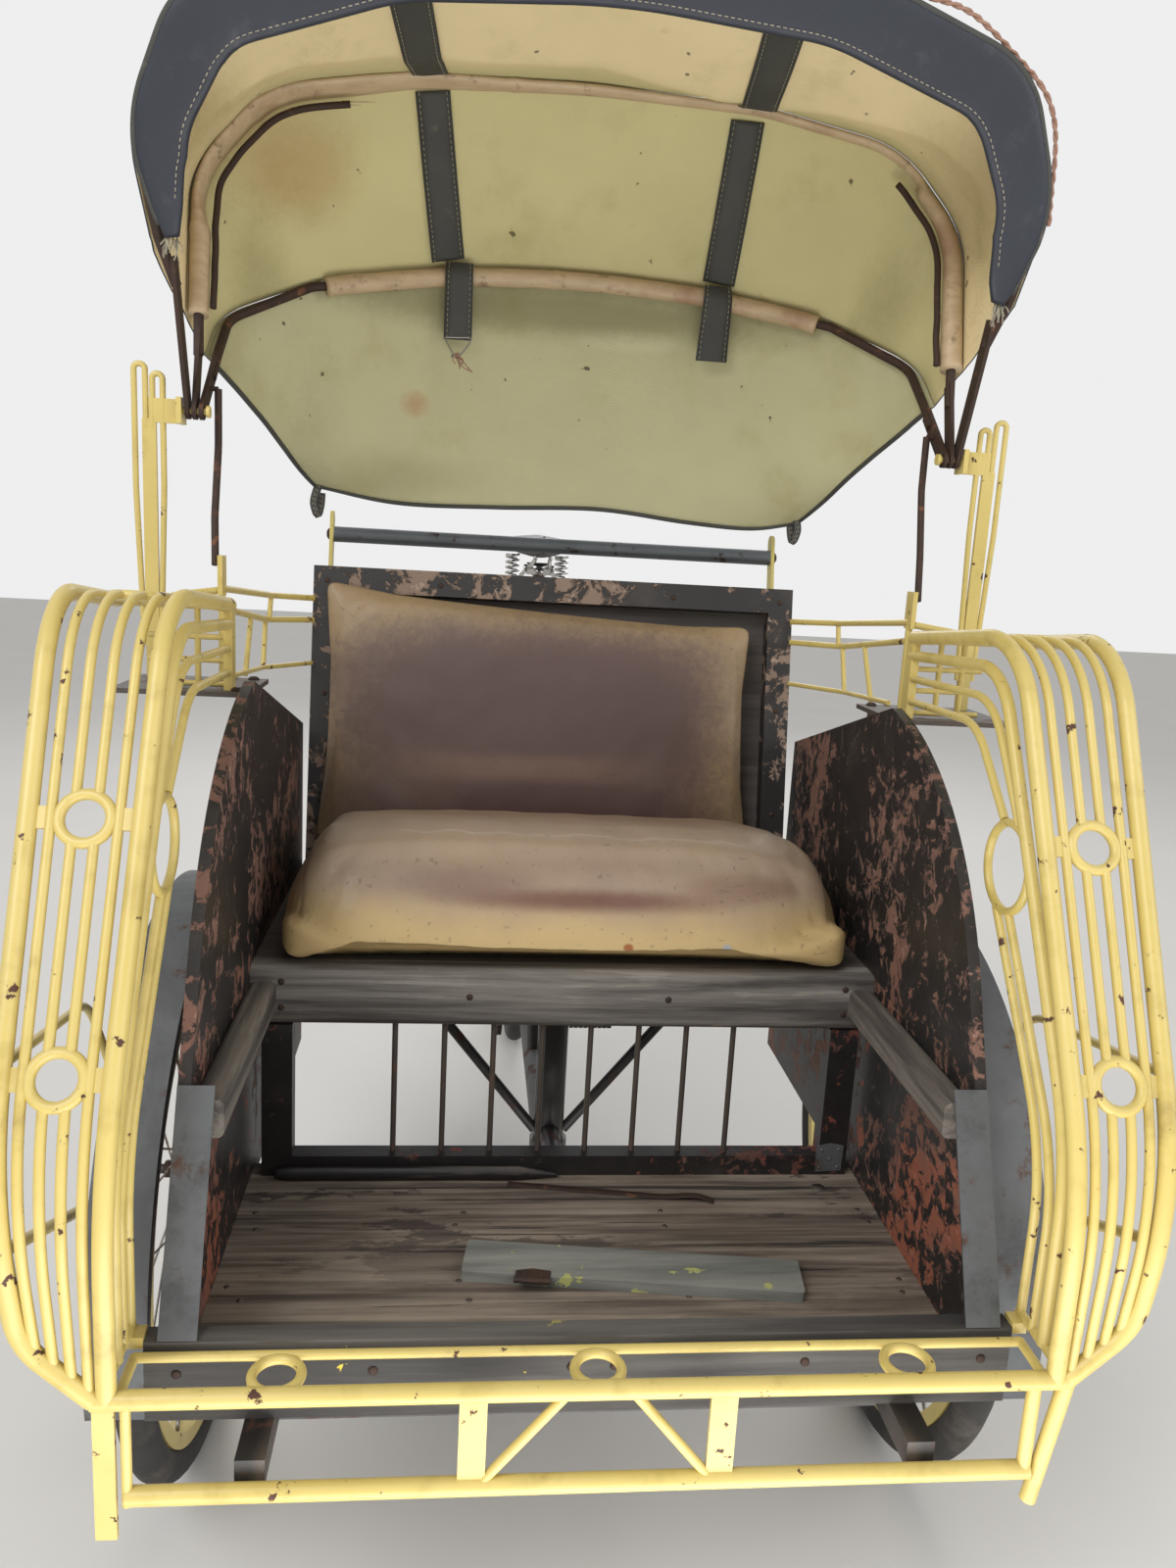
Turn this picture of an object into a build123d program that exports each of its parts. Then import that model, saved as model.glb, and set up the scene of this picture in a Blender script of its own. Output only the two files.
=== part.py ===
from build123d import *
import os
from math import cos, radians, sin

# Cycle rickshaw with its passenger seat in front, between two wheels, and the rider behind.
# Millimetres. +X is to the right of someone who faces the seat, +Y runs back to the rider, +Z is up.
# Heights are above the ground. Lengths along Y are measured here from the axis of the front
# bumper tube, and save() moves each piece so that the origin is under the middle of the vehicle.

# Wheels
WHEEL_R = 345
TYRE_R = 20
RIM_DEPTH = 17
RIM_HALF = 15
RIM_SEAT = 4
HUB_R = 17
FLANGE_R = 27
FLANGE_T = 3
FLANGE_IN = 6
SPOKE_R = 1.3
SPOKES = 32
SPOKE_SWING = 60
AXLE_R = 6
AXLE_END_R = 5
AXLE_END_L = 11
RUNNING_FIT = 0.05
FRONT_HUB_HALF = 30
REAR_HUB_HALF = 44
FRONT_AXLE_Y = WHEEL_R + 161
TYRE_GAP = 28
MUDGUARD_T = 2
MUDGUARD_HALF = 30
MUDGUARD_LIP = 14
FRONT_MUDGUARD_ARC = (-8, 165)
REAR_MUDGUARD_ARC = (25, 195)
MUDGUARD_STAY_TURN = 150
MUDGUARD_STAY_R = 2.5
TAB_HALF = 12
TAB_DROP = 10

# Cabin
CABIN_HALF = 376
PANEL_T = 12
PANEL_OUT = CABIN_HALF + PANEL_T
WHEEL_CLEAR = 59
HALF_TRACK = PANEL_OUT + WHEEL_CLEAR
PANEL_BACK_Y = 880
PANEL_FRONT_Y = 60
PANEL_KNEE = (186, 730)
PANEL_PEAK = (480, 968)
PANEL_REAR_Z = 858
FLOOR_TOP = WHEEL_R + 28
FLOOR_T = 18
FLOOR_PLANKS = 3
FLOOR_BACK_Y = 470
PLANK_GAP = 1
BOARD_Y = 58
BOARD_T = 22
BOARD_TOP = FLOOR_TOP + 61
BOARD_HALF = PANEL_OUT + 12
LOOSE_L = 363
LOOSE_W = 58
LOOSE_T = 12
LOOSE_SOFT = 4
LOOSE_XY = (62, 235)
LOOSE_TURN = -7
STRIP_W = 34
STRIP_T = 2
STRIP_SHARE = 0.68
SIDE_RAIL_Y = 143
SIDE_RAIL_W = 30
SIDE_RAIL_H = 38
SIDE_RAIL_TOP = 622
SEAT_Y = 440
SEAT_TOP = 640
SEAT_RAIL_H = 72
SEAT_RAIL_T = 32
SEAT_BOARD_T = 12
SEAT_BACK_Y = 906
LEG_X = CABIN_HALF - 31
LEG_W = 36
SILL_H = 26
GRILLE_RODS = 8
GRILLE_HALF = LEG_X - 78
CUSHION_H = 146
CUSHION_HALF = CABIN_HALF - 24
CUSHION_BACK_Y = 812
SOFT_GAP = 0.3

# Backrest, leaning back
BACK_Y = 866
BACK_LEAN = 10
BACK_HALF = CABIN_HALF - 6
BACK_H = 456
BACK_BAR = 38
BACK_BAR_T = 26
BACK_BOARD_T = 8
BACK_CUSHION_T = 46
BACK_CUSHION_LEFT = 39 - BACK_HALF
BACK_CUSHION_RIGHT = BACK_HALF - 65

# Tubes and rods
FRAME_R = 8.5
ROD_R = 4.5
WIRE_R = 3.5
CHASSIS_BAR = 26
CHASSIS_HALF = CABIN_HALF - 76
BEAM_R = 14
BEAM_HALF = CABIN_HALF - 6
BRACE_R = 7
BRACE_HALF = CHASSIS_HALF - 50
BRACE_FOOT_Z = WHEEL_R - 15
FRONT_BAR_Y = 100
BEARER_H = 22
HEAD_CLEAR = 40
STEM_GAP = 2

# Front bumper
BUMPER_Z = WHEEL_R + 79
BUMPER_LOW_Z = BUMPER_Z - 93
BUMPER_HALF = PANEL_OUT + 38
BUMPER_LOW_HALF = BUMPER_HALF - 26
BUMPER_FLAT_X = 110
BUMPER_FLAT_W = 24
BUMPER_FLAT_T = 5
BUMPER_LEG_Z = BUMPER_LOW_Z - 41
BUMPER_LEG_W = 18
BUMPER_V_TOP_X = 30
BUMPER_V_IN = 10
BUMPER_ROD_R = 6.5
RING_ROD_Y = 52
RING_ROD_IN = 20
RING_CENTRES = (146 - BUMPER_HALF, 0, BUMPER_HALF - 141)
RING_R = 21

# Wheel guards, which lean back over the wheels
GUARD_INNER_X = PANEL_OUT + 26
GUARD_REAR_Y = 530
GUARD_TOP_Z = 1050
GUARD_RODS = 4
GUARD_RING_R = 22
GUARD_RING_WIRE = 5.2
TAB_W = 20
TAB_T = 4
SIDE_RING_R = 45
SIDE_RING_YZ = (214, 845)
SIDE_TUBE_R = 6.5
PLATE_W = 10
BRACKET_TOP = 951
BRACKET_T = 6
STAY_X = HALF_TRACK + 66
STAY_EYE_R = 16
STAY_EYE_T = 5

# Hood, which folds about one axis across the cabin
PIVOT_Y = 620
PIVOT_Z = 1272
PIN_R = 4
PIN_HEAD_R = 7
ARM_T = 5
ARM_GAP = 3
ARM_HALF = 10
BAMBOO_R = 14
BOW_ROD_R = 6
CLOTH_T = 3
CLOTH_EASE = 0.8
CLOTH_EASE_STEEP = 3.8
CURTAIN_EASE = 1.8
SEAM_TURN = 0.3
VALANCE_IN = 60
VALANCE_OUT = 8
CURTAIN_HALF = BACK_HALF + 2
CURTAIN_Y = 985
CURTAIN_Z = 1195
POST_X = HALF_TRACK + 76
POST_W = 16
POST_T = 6
LUG_X = POST_X - 40
STAY_HOLD = 48
FOOT_X = PANEL_OUT + 52
FOOT_Z = 1092

# Steering, handlebar and the rider's frame
STEER_Y = 640
HEAD_R = 21
STEM_R = 16
HEAD_BOTTOM = WHEEL_R - 27
COLLAR_R = 26
MAIN_TUBE_R = 19
MAIN_TUBE_Z = HEAD_BOTTOM - 30
SEAT_TUBE_R = 15
STAY_R = 8
SEAT_STAY_R = 6
DROPOUT_X = 72
DROPOUT_R = 18
SHELL_Y = 1310
SHELL_Z = WHEEL_R - 60
REAR_CLEAR = 95
REAR_AXLE_Y = SHELL_Y + REAR_CLEAR + WHEEL_R
SHELL_R = 20
SHELL_HALF = 34
CLUSTER_Y = 1432
CLUSTER_Z = 850
CLUSTER_HALF = 25
SADDLE_TOP = 1155
SADDLE_T = 40
SADDLE_NOSE_Y = 1345
SADDLE_L = 265
SADDLE_W = 205
SADDLE_NOSE_R = 22
SADDLE_WING_R = 55
SADDLE_SOFT = 14
SPINDLE_R = 8
CRANK = 165
CRANK_X = 62
CRANK_T = 8
CHAINRING_R = 92
SPROCKET_R = 38
SPROCKET_X = -50
PLATE_T = 3
CHAIN_W = 8
CHAIN_H = 9
CHAIN_GAP = 0.8
PEDAL_PIN_R = 5
PEDAL_L = 88
PEDAL_W = 62
PEDAL_H = 22
HANDLEBAR_Y = 1037
HANDLEBAR_Z = 1136
HANDLEBAR_HALF = BACK_HALF - 18
HANDLEBAR_R = 12
UPRIGHT_W = 26
UPRIGHT_T = 5
UPRIGHT_TOP = 1172

LENGTH_FRONT = -FRAME_R
LENGTH_REAR = REAR_AXLE_Y + WHEEL_R + TYRE_GAP + MUDGUARD_T
MIDDLE_Y = (LENGTH_FRONT + LENGTH_REAR) / 2
UNDER_FLOOR = FLOOR_TOP - FLOOR_T
RIM_OUTER = WHEEL_R - 2 * TYRE_R + RIM_SEAT
RIM_INNER = RIM_OUTER - RIM_DEPTH
SEAT_UNDER = SEAT_TOP - SEAT_BOARD_T

os.makedirs("parts", exist_ok=True)


def save(shape, node):
    export_step(Location((0, -MIDDLE_Y, 0)) * shape, f"parts/{node}.step")


def block(x0, x1, y0, y1, z0, z1):
    centre = ((x0 + x1) / 2, (y0 + y1) / 2, (z0 + z1) / 2)
    return Location(centre) * Box(x1 - x0, y1 - y0, z1 - z0)


def tube(points, radius, bends=None):
    """A round bar along straight runs joined by arcs."""
    path = Line(*points) if len(points) == 2 else FilletPolyline(*points, radius=bends)
    section = Plane(origin=path @ 0, z_dir=path % 0) * Circle(radius)
    return sweep(section, path=path)


def across(x0, x1, y, z, radius):
    """A round bar across the vehicle."""
    return tube([(x0, y, z), (x1, y, z)], radius)


def ring(centre, normal, radius, wire):
    return Plane(origin=centre, z_dir=normal) * Torus(radius, wire)


def side_plate(outline, x0, x1):
    """An outline in (y, z), cut from sheet between two x values."""
    return Location((x0, 0, 0)) * extrude(make_face(Plane.YZ * outline), amount=x1 - x0, dir=(1, 0, 0))


def joined(pieces):
    """Pieces that meet, as one solid."""
    return pieces[0].fuse(*pieces[1:])


def group(pieces):
    return Compound(children=[solid for piece in pieces for solid in piece.solids()])


def mirrored(shape):
    return mirror(shape, about=Plane.YZ)


def both_sides(shape, node):
    """The piece on the right, and its mirror image on the left."""
    save(shape, f"{node}_right")
    save(mirrored(shape), f"{node}_left")


def pair(shape):
    """The piece on the right and its mirror image, as two solids of one node."""
    return group([shape, mirrored(shape)])


# Wheels

def tyre(x, y):
    return ring((x, y, WHEEL_R), (1, 0, 0), WHEEL_R - TYRE_R, TYRE_R)


def rim(x, y):
    hoop = extrude(Circle(RIM_OUTER) - Circle(RIM_INNER), amount=RIM_HALF, both=True)
    return (Plane(origin=(x, y, WHEEL_R), z_dir=(1, 0, 0)) * hoop) - tyre(x, y)


def spoke(x, y, flange_x, side, number):
    lean = SPOKE_SWING if number % 2 else -SPOKE_SWING
    at_rim = radians(360 * (number + (side + 1) / 4) / (SPOKES / 2))
    at_hub = at_rim + radians(lean)
    hole_r = FLANGE_R - 4
    start = Vector(flange_x, y + hole_r * sin(at_hub), WHEEL_R + hole_r * cos(at_hub))
    end = Vector(x + side * 4, y + RIM_INNER * sin(at_rim), WHEEL_R + RIM_INNER * cos(at_rim))
    wire = Plane(origin=start, z_dir=end - start) * RegularPolygon(SPOKE_R, 6)
    return extrude(wire, amount=(end - start).length)


def hub_and_spokes(x, y, half, extra=()):
    """A hub with two flanges, and crossed spokes that reach the rim."""
    pieces = [across(x - half, x + half, y, WHEEL_R, HUB_R), *extra]
    for side in (-1, 1):
        flange_x = x + side * (half - FLANGE_IN)
        pieces.append(across(flange_x - FLANGE_T / 2, flange_x + FLANGE_T / 2, y, WHEEL_R, FLANGE_R))
        pieces += [spoke(x, y, flange_x, side, number) for number in range(SPOKES // 2)]
    bore = across(x - 2 * half, x + 2 * half, y, WHEEL_R, AXLE_R + RUNNING_FIT)
    return joined(pieces) - bore


def mudguard(x, y, front, back):
    """A pressed sheet round the tyre, from one angle over the top to another, with rolled lips."""
    inner = WHEEL_R + TYRE_GAP
    edge = MUDGUARD_HALF - MUDGUARD_T / 2
    lip_x = inner + MUDGUARD_T - MUDGUARD_LIP / 2
    profile = Pos(inner + MUDGUARD_T / 2, 0) * Rectangle(MUDGUARD_T, 2 * MUDGUARD_HALF)
    for side in (-1, 1):
        profile += Pos(lip_x, side * edge) * Rectangle(MUDGUARD_LIP, MUDGUARD_T)
    sheet = revolve(Plane.XZ * profile, axis=Axis.Z, revolution_arc=back - front)
    start = radians(front)
    spin = Plane(origin=(x, y, WHEEL_R), x_dir=(0, -cos(start), sin(start)), z_dir=(-1, 0, 0))
    return spin * sheet


def make_wheels():
    for side, name in ((-1, "left"), (1, "right")):
        x = side * HALF_TRACK
        save(tyre(x, FRONT_AXLE_Y), f"front_tyre_{name}")
        save(rim(x, FRONT_AXLE_Y), f"front_rim_{name}")
        save(hub_and_spokes(x, FRONT_AXLE_Y, FRONT_HUB_HALF), f"front_hub_{name}")
    save(tyre(0, REAR_AXLE_Y), "rear_tyre")
    save(rim(0, REAR_AXLE_Y), "rear_rim")
    carrier = across(SPROCKET_X - 6, -REAR_HUB_HALF + 1, REAR_AXLE_Y, WHEEL_R, HUB_R)
    edges = (SPROCKET_X - PLATE_T / 2, SPROCKET_X + PLATE_T / 2)
    sprocket = across(*edges, REAR_AXLE_Y, WHEEL_R, SPROCKET_R)
    save(hub_and_spokes(0, REAR_AXLE_Y, REAR_HUB_HALF, (carrier, sprocket)), "rear_hub")


# Cabin

def side_panel():
    rise = (PANEL_KNEE[0] - PANEL_FRONT_Y, PANEL_KNEE[1] - BOARD_TOP)
    shoulder = TangentArc(PANEL_KNEE, PANEL_PEAK, tangent=rise)
    board_back = BOARD_Y + BOARD_T
    rest = Polyline(PANEL_PEAK, (PANEL_BACK_Y, PANEL_REAR_Z), (PANEL_BACK_Y, UNDER_FLOOR),
                    (board_back, UNDER_FLOOR), (board_back, BOARD_TOP), (PANEL_FRONT_Y, BOARD_TOP),
                    PANEL_KNEE)
    return side_plate(shoulder + rest, CABIN_HALF, CABIN_HALF + PANEL_T)


def edge_strip():
    """Sheet metal nailed over the lower front edge of a side panel."""
    start = Vector(0, PANEL_FRONT_Y, BOARD_TOP)
    end = Vector(0, *PANEL_KNEE)
    reach = start + (end - start) * STRIP_SHARE
    ahead = Vector(0, start.Z - end.Z, end.Y - start.Y).normalized() * -STRIP_T
    corners = [start, reach, reach - ahead, start - ahead]
    outline = Polyline(*[(p.Y, p.Z) for p in corners], close=True)
    return side_plate(outline, CABIN_HALF + PANEL_T - STRIP_W, CABIN_HALF + PANEL_T)


def floor_planks():
    front = BOARD_Y + BOARD_T
    pitch = (FLOOR_BACK_Y - front + PLANK_GAP) / FLOOR_PLANKS
    half = CABIN_HALF - SOFT_GAP
    starts = [front + row * pitch for row in range(FLOOR_PLANKS)]
    return group([block(-half, half, y, y + pitch - PLANK_GAP, UNDER_FLOOR, FLOOR_TOP) for y in starts])


def seat_front():
    """Two legs under the seat rail, with a sill between them on the floor."""
    y0, y1 = SEAT_Y, SEAT_Y + SEAT_RAIL_T - 6
    rail_bottom = SEAT_TOP - SEAT_RAIL_H
    legs = [block(x - LEG_W / 2, x + LEG_W / 2, y0, y1, FLOOR_TOP, rail_bottom) for x in (-LEG_X, LEG_X)]
    sill = block(-LEG_X, LEG_X, y0, y1, FLOOR_TOP, FLOOR_TOP + SILL_H)
    return joined([*legs, sill])


def grille_rods():
    step = 2 * GRILLE_HALF / (GRILLE_RODS + 1)
    y = SEAT_Y + SEAT_RAIL_T / 2
    low, high = FLOOR_TOP + SILL_H, SEAT_TOP - SEAT_RAIL_H
    places = [-GRILLE_HALF + step * (row + 1) for row in range(GRILLE_RODS)]
    return group([tube([(x, y, low), (x, y, high)], WIRE_R) for x in places])


def leaning(shape):
    """From the backrest's own frame, x across, y through it and z up it, to its place."""
    return Location((0, BACK_Y, SEAT_TOP), (-BACK_LEAN, 0, 0)) * shape


def backrest_frame():
    outer = block(-BACK_HALF, BACK_HALF, 0, BACK_BAR_T, -10, BACK_H)
    window = BACK_HALF - BACK_BAR
    inner = block(-window, window, -1, BACK_BAR_T + 1, BACK_BAR, BACK_H - BACK_BAR)
    below = block(-BACK_HALF - 1, BACK_HALF + 1, BACK_Y - 50, BACK_Y + 50, SEAT_TOP - 50, SEAT_TOP)
    return leaning(outer - inner) - below


def make_cabin():
    both_sides(side_panel(), "side_panel")
    save(pair(edge_strip()), "panel_edge_strips")
    rail_in = CABIN_HALF - SIDE_RAIL_W
    rail = block(rail_in, CABIN_HALF, SIDE_RAIL_Y, SEAT_Y, SIDE_RAIL_TOP - SIDE_RAIL_H, SIDE_RAIL_TOP)
    save(pair(fillet(rail.edges().filter_by(Axis.Y), 7)), "side_rails")
    save(floor_planks(), "floor_planks")
    board = block(-BOARD_HALF, BOARD_HALF, BOARD_Y, BOARD_Y + BOARD_T, UNDER_FLOOR, BOARD_TOP)
    save(board, "front_board")
    rail_half = CABIN_HALF - SOFT_GAP
    rail = block(-rail_half, rail_half, SEAT_Y, SEAT_Y + SEAT_RAIL_T, SEAT_TOP - SEAT_RAIL_H, SEAT_TOP)
    save(fillet(rail.edges().filter_by(Axis.X).group_by(Axis.Y)[0], 10), "seat_front_rail")
    save(seat_front(), "seat_legs")
    save(grille_rods(), "under_seat_grille")
    seat_board = block(-rail_half, rail_half, SEAT_Y + SEAT_RAIL_T, SEAT_BACK_Y, SEAT_UNDER, SEAT_TOP)
    save(seat_board, "seat_board")
    cushion_z = SEAT_TOP + SOFT_GAP
    cushion = block(-CUSHION_HALF, CUSHION_HALF, SEAT_Y - 3, CUSHION_BACK_Y, cushion_z, cushion_z + CUSHION_H)
    save(fillet(cushion.edges(), 30), "seat_cushion")
    save(backrest_frame(), "backrest_frame")
    back_board = block(-BACK_HALF + 10, BACK_HALF - 10, BACK_BAR_T, BACK_BAR_T + BACK_BOARD_T, 20, BACK_H - 10)
    save(leaning(back_board), "backrest_board")
    pad = block(BACK_CUSHION_LEFT, BACK_CUSHION_RIGHT, BACK_BAR_T - SOFT_GAP - BACK_CUSHION_T,
                BACK_BAR_T - SOFT_GAP, BACK_BAR + SOFT_GAP, BACK_H - BACK_BAR - SOFT_GAP)
    save(leaning(fillet(pad.edges(), 14)), "backrest_cushion")


# Chassis, with the fixed front axle and the steering head

def chassis():
    low, half = UNDER_FLOOR - CHASSIS_BAR, CHASSIS_BAR / 2
    bearer_low = SEAT_UNDER - BEARER_H
    rear_y = SEAT_BACK_Y - CHASSIS_BAR
    bars = [block(-CHASSIS_HALF, CHASSIS_HALF, FRONT_BAR_Y - half, FRONT_BAR_Y + half, low, UNDER_FLOOR),
            block(-CABIN_HALF, CABIN_HALF, rear_y, SEAT_BACK_Y, bearer_low, SEAT_UNDER)]
    for x in (-CHASSIS_HALF, CHASSIS_HALF):
        bars.append(block(x - half, x + half, FRAME_R, FRONT_AXLE_Y, low, UNDER_FLOOR))
        bars.append(block(x - half, x + half, SEAT_Y + SEAT_RAIL_T, rear_y, bearer_low, SEAT_UNDER))
    beam = across(-BEAM_HALF, BEAM_HALF, FRONT_AXLE_Y, WHEEL_R, BEAM_R)
    backbone = tube([(0, FRONT_AXLE_Y, WHEEL_R), (0, STEER_Y, BRACE_FOOT_Z)], BEAM_R)
    axle_half = STAY_X + STAY_EYE_T
    axle = across(-axle_half, axle_half, FRONT_AXLE_Y, WHEEL_R, AXLE_R)
    end_half = axle_half + AXLE_END_L
    axle_ends = across(-end_half, end_half, FRONT_AXLE_Y, WHEEL_R, AXLE_END_R)
    bearer = block(-CABIN_HALF, CABIN_HALF, STEER_Y - half, STEER_Y + half, bearer_low, SEAT_UNDER)
    head = tube([(0, STEER_Y, HEAD_BOTTOM), (0, STEER_Y, SEAT_UNDER - BEARER_H / 2)], HEAD_R)
    braces = [tube([(side * BRACE_HALF, STEER_Y, SEAT_UNDER - BEARER_H / 2),
                    (side * HEAD_R, STEER_Y, BRACE_FOOT_Z)], BRACE_R) for side in (-1, 1)]
    solid = joined([*bars, beam, axle, axle_ends, backbone, bearer, head, *braces])
    below = tube([(0, STEER_Y, HEAD_BOTTOM), (0, STEER_Y, HEAD_BOTTOM - HEAD_CLEAR)], COLLAR_R + BRACE_R)
    bore = tube([(0, STEER_Y, HEAD_BOTTOM - HEAD_CLEAR), (0, STEER_Y, bearer_low - STEM_GAP)], STEM_R + RUNNING_FIT)
    return solid - below - bore


# Front bumper

def bumper():
    tubes = [across(-BUMPER_HALF, BUMPER_HALF, 0, BUMPER_Z, FRAME_R),
             across(-BUMPER_LOW_HALF, BUMPER_LOW_HALF, 0, BUMPER_LOW_Z, FRAME_R)]
    flat_half = BUMPER_FLAT_W / 2
    flat_y = BUMPER_FLAT_T / 2
    for side in (-1, 1):
        x = side * BUMPER_FLAT_X
        tubes.append(block(x - flat_half, x + flat_half, -flat_y, flat_y, BUMPER_LOW_Z, BUMPER_Z))
        foot_x = side * (BUMPER_FLAT_X - BUMPER_V_IN)
        tubes.append(tube([(side * BUMPER_V_TOP_X, 0, BUMPER_Z - ROD_R), (foot_x, 0, BUMPER_LOW_Z + ROD_R)], ROD_R))
    left_leg = BUMPER_LEG_W / 2 - BUMPER_HALF
    leg_half = BUMPER_LEG_W / 2
    tubes.append(block(left_leg - leg_half, left_leg + leg_half, -flat_y, flat_y, BUMPER_LEG_Z, BUMPER_Z))
    rod_x = left_leg + leg_half + FRAME_R
    tubes.append(tube([(rod_x, 0, BUMPER_Z), (rod_x, 0, BUMPER_LOW_Z - FRAME_R)], ROD_R))
    tubes.append(tube([(BUMPER_HALF, 0, BUMPER_Z), (BUMPER_LOW_HALF + ROD_R, 0, BUMPER_LEG_Z + FRAME_R)], FRAME_R - 1))
    rod_x = BUMPER_LOW_HALF - ROD_R
    tubes.append(tube([(rod_x, 0, BUMPER_Z), (rod_x, 0, BUMPER_LOW_Z)], BUMPER_ROD_R))
    ends = BUMPER_HALF - RING_ROD_IN
    tubes.append(across(-ends, ends, RING_ROD_Y, BUMPER_Z, ROD_R))
    for x in RING_CENTRES:
        tubes.append(ring((x, RING_ROD_Y / 2, BUMPER_Z), (0, 0, 1), RING_R, ROD_R))
    for x in (-ends, ends):
        tubes.append(tube([(x, 0, BUMPER_Z), (x, RING_ROD_Y, BUMPER_Z)], ROD_R))
    return joined(tubes)


# Wheel guards

# Corners of a guard's outer tube from the bumper over the crown: x, y, z, bend radius
GUARD_CORNERS = (
    (BUMPER_HALF - 2, 0, BUMPER_Z, None),
    (GUARD_INNER_X + 68, 0, BUMPER_Z + 54, 70),
    (GUARD_INNER_X + 86, 0, 610, 350),
    (GUARD_INNER_X + 102, 245, 1075, 115),
    (GUARD_INNER_X + 126, GUARD_REAR_Y, GUARD_TOP_Z, None),
)
# Rings between the guard's middle rods: the corner that their run starts from, and a share along it
GUARD_RINGS = ((2, 0.172), (2, 0.591), (3, 0.37))
# Rods of the guard's inner face, from their lower end: radius, then corners as (y, z, bend radius)
SIDE_LANES = (
    (SIDE_TUBE_R, ((26, BUMPER_Z + 16, None), (30, 625, 250), (278, 1040, 90), (GUARD_REAR_Y, 1028, None))),
    (ROD_R, ((200, 890, None), (292, 1006, 90), (GUARD_REAR_Y, 1000, None))),
    (ROD_R, ((234, 890, None), (325, 975, 90), (GUARD_REAR_Y, 972, None))),
    (ROD_R, ((200, 800, None), (48, 600, 200), (48, BUMPER_Z + 16, None))),
    (ROD_R, ((228, 800, None), (72, 600, 200), (72, BUMPER_Z + 16, None))),
)


def lane(share, radius):
    """One bar of a guard's face, at a share of its width out from the inner tube."""
    points = [(GUARD_INNER_X + share * (x - GUARD_INNER_X), y, z) for x, y, z, _ in GUARD_CORNERS]
    bends = [bend for *_, bend in GUARD_CORNERS[1:-1]]
    if share < 1:
        x = points[1][0]
        (x0, _, z0, _), (x1, _, z1, _) = GUARD_CORNERS[:2]
        z = z0 + max(0, x - x0) * (z1 - z0) / (x1 - x0)
        points = [(x, 0, z), *points[2:]]
        bends = bends[1:]
    return tube(points, radius, bends)


def face_ring(corner, share):
    """A ring between the middle rods, with flat tabs to the tubes on both sides."""
    (x0, y0, z0, _), (x1, y1, z1, _) = GUARD_CORNERS[corner:corner + 2]
    outer_x = x0 + share * (x1 - x0)
    middle = ((GUARD_INNER_X + outer_x) / 2, y0 + share * (y1 - y0), z0 + share * (z1 - z0))
    face = Plane(origin=middle, x_dir=(1, 0, 0), z_dir=(0, z0 - z1, y1 - y0))
    depth = 2 * GUARD_RING_R
    tabs = face * Box(outer_x - GUARD_INNER_X, TAB_W, TAB_T) - face * Cylinder(GUARD_RING_R, depth)
    inside = face * Box(2.6 * GUARD_RING_R, depth - ROD_R, depth)
    return face * Torus(GUARD_RING_R, GUARD_RING_WIRE), tabs, inside


def outer_stay():
    """An eye on the axle's free end, with two round bars from it up to the guard."""
    middle = STAY_X + STAY_EYE_T / 2
    hub = (middle, FRONT_AXLE_Y, WHEEL_R)
    eye = across(STAY_X, STAY_X + STAY_EYE_T, FRONT_AXLE_Y, WHEEL_R, STAY_EYE_R)
    bow = tube([hub, (middle + 8, 330, 640), (GUARD_CORNERS[2][0] + 3, 47, 700)], ROD_R, [90])
    strut = tube([hub, (middle + 4, 300, 420), (GUARD_CORNERS[2][0] - 7, 2, 560)], ROD_R + 1, [120])
    return [eye, bow, strut]


def guard():
    shares = [(row + 1) / (GUARD_RODS + 1) for row in range(GUARD_RODS)]
    rods = [lane(share, ROD_R) for share in shares]
    pieces = [lane(0, FRAME_R), lane(1, FRAME_R)]
    for corner, share in GUARD_RINGS:
        hoop, tabs, inside = face_ring(corner, share)
        rods[1:-1] = [rod - inside for rod in rods[1:-1]]
        pieces += [hoop, tabs]
    for radius, corners in SIDE_LANES:
        points = [(GUARD_INNER_X, y, z) for y, z, _ in corners]
        pieces.append(tube(points, radius, [bend for *_, bend in corners[1:-1]]))
    pieces.append(ring((GUARD_INNER_X, *SIDE_RING_YZ), (1, 0, 0), SIDE_RING_R, ROD_R))
    outer_rear_x = GUARD_CORNERS[-1][0]
    pieces.append(across(GUARD_INNER_X, outer_rear_x, GUARD_REAR_Y, GUARD_TOP_Z, FRAME_R - 2))
    half = PLATE_W / 2
    pieces.append(block(GUARD_INNER_X - half, GUARD_INNER_X + half, GUARD_REAR_Y - 10, GUARD_REAR_Y + 10,
                        BRACKET_TOP, GUARD_TOP_Z))
    pieces += [across(GUARD_INNER_X, outer_rear_x - 35, GUARD_REAR_Y, z, WIRE_R) for z in (957, 985, 1012)]
    pieces += [tube([(x, GUARD_REAR_Y, 957), (x, GUARD_REAR_Y, GUARD_TOP_Z)], WIRE_R)
               for x in (GUARD_INNER_X + 36, GUARD_INNER_X + 66)]
    low = BUMPER_Z + 16
    pieces.append(tube([(GUARD_INNER_X, 0, low), (GUARD_INNER_X, 76, low)], ROD_R))
    pieces.append(block(BOARD_HALF, GUARD_INNER_X, BOARD_Y, BOARD_Y + BOARD_T - 4, low - 12, low - 1))
    for rod in rods:
        pieces += rod.solids()
    axle = across(STAY_X - STAY_EYE_R, STAY_X + STAY_EYE_R, FRONT_AXLE_Y, WHEEL_R, AXLE_R + RUNNING_FIT)
    frame = joined(pieces)
    for piece in outer_stay():
        frame = frame.fuse(piece)
    return frame - bumper() - axle


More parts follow.
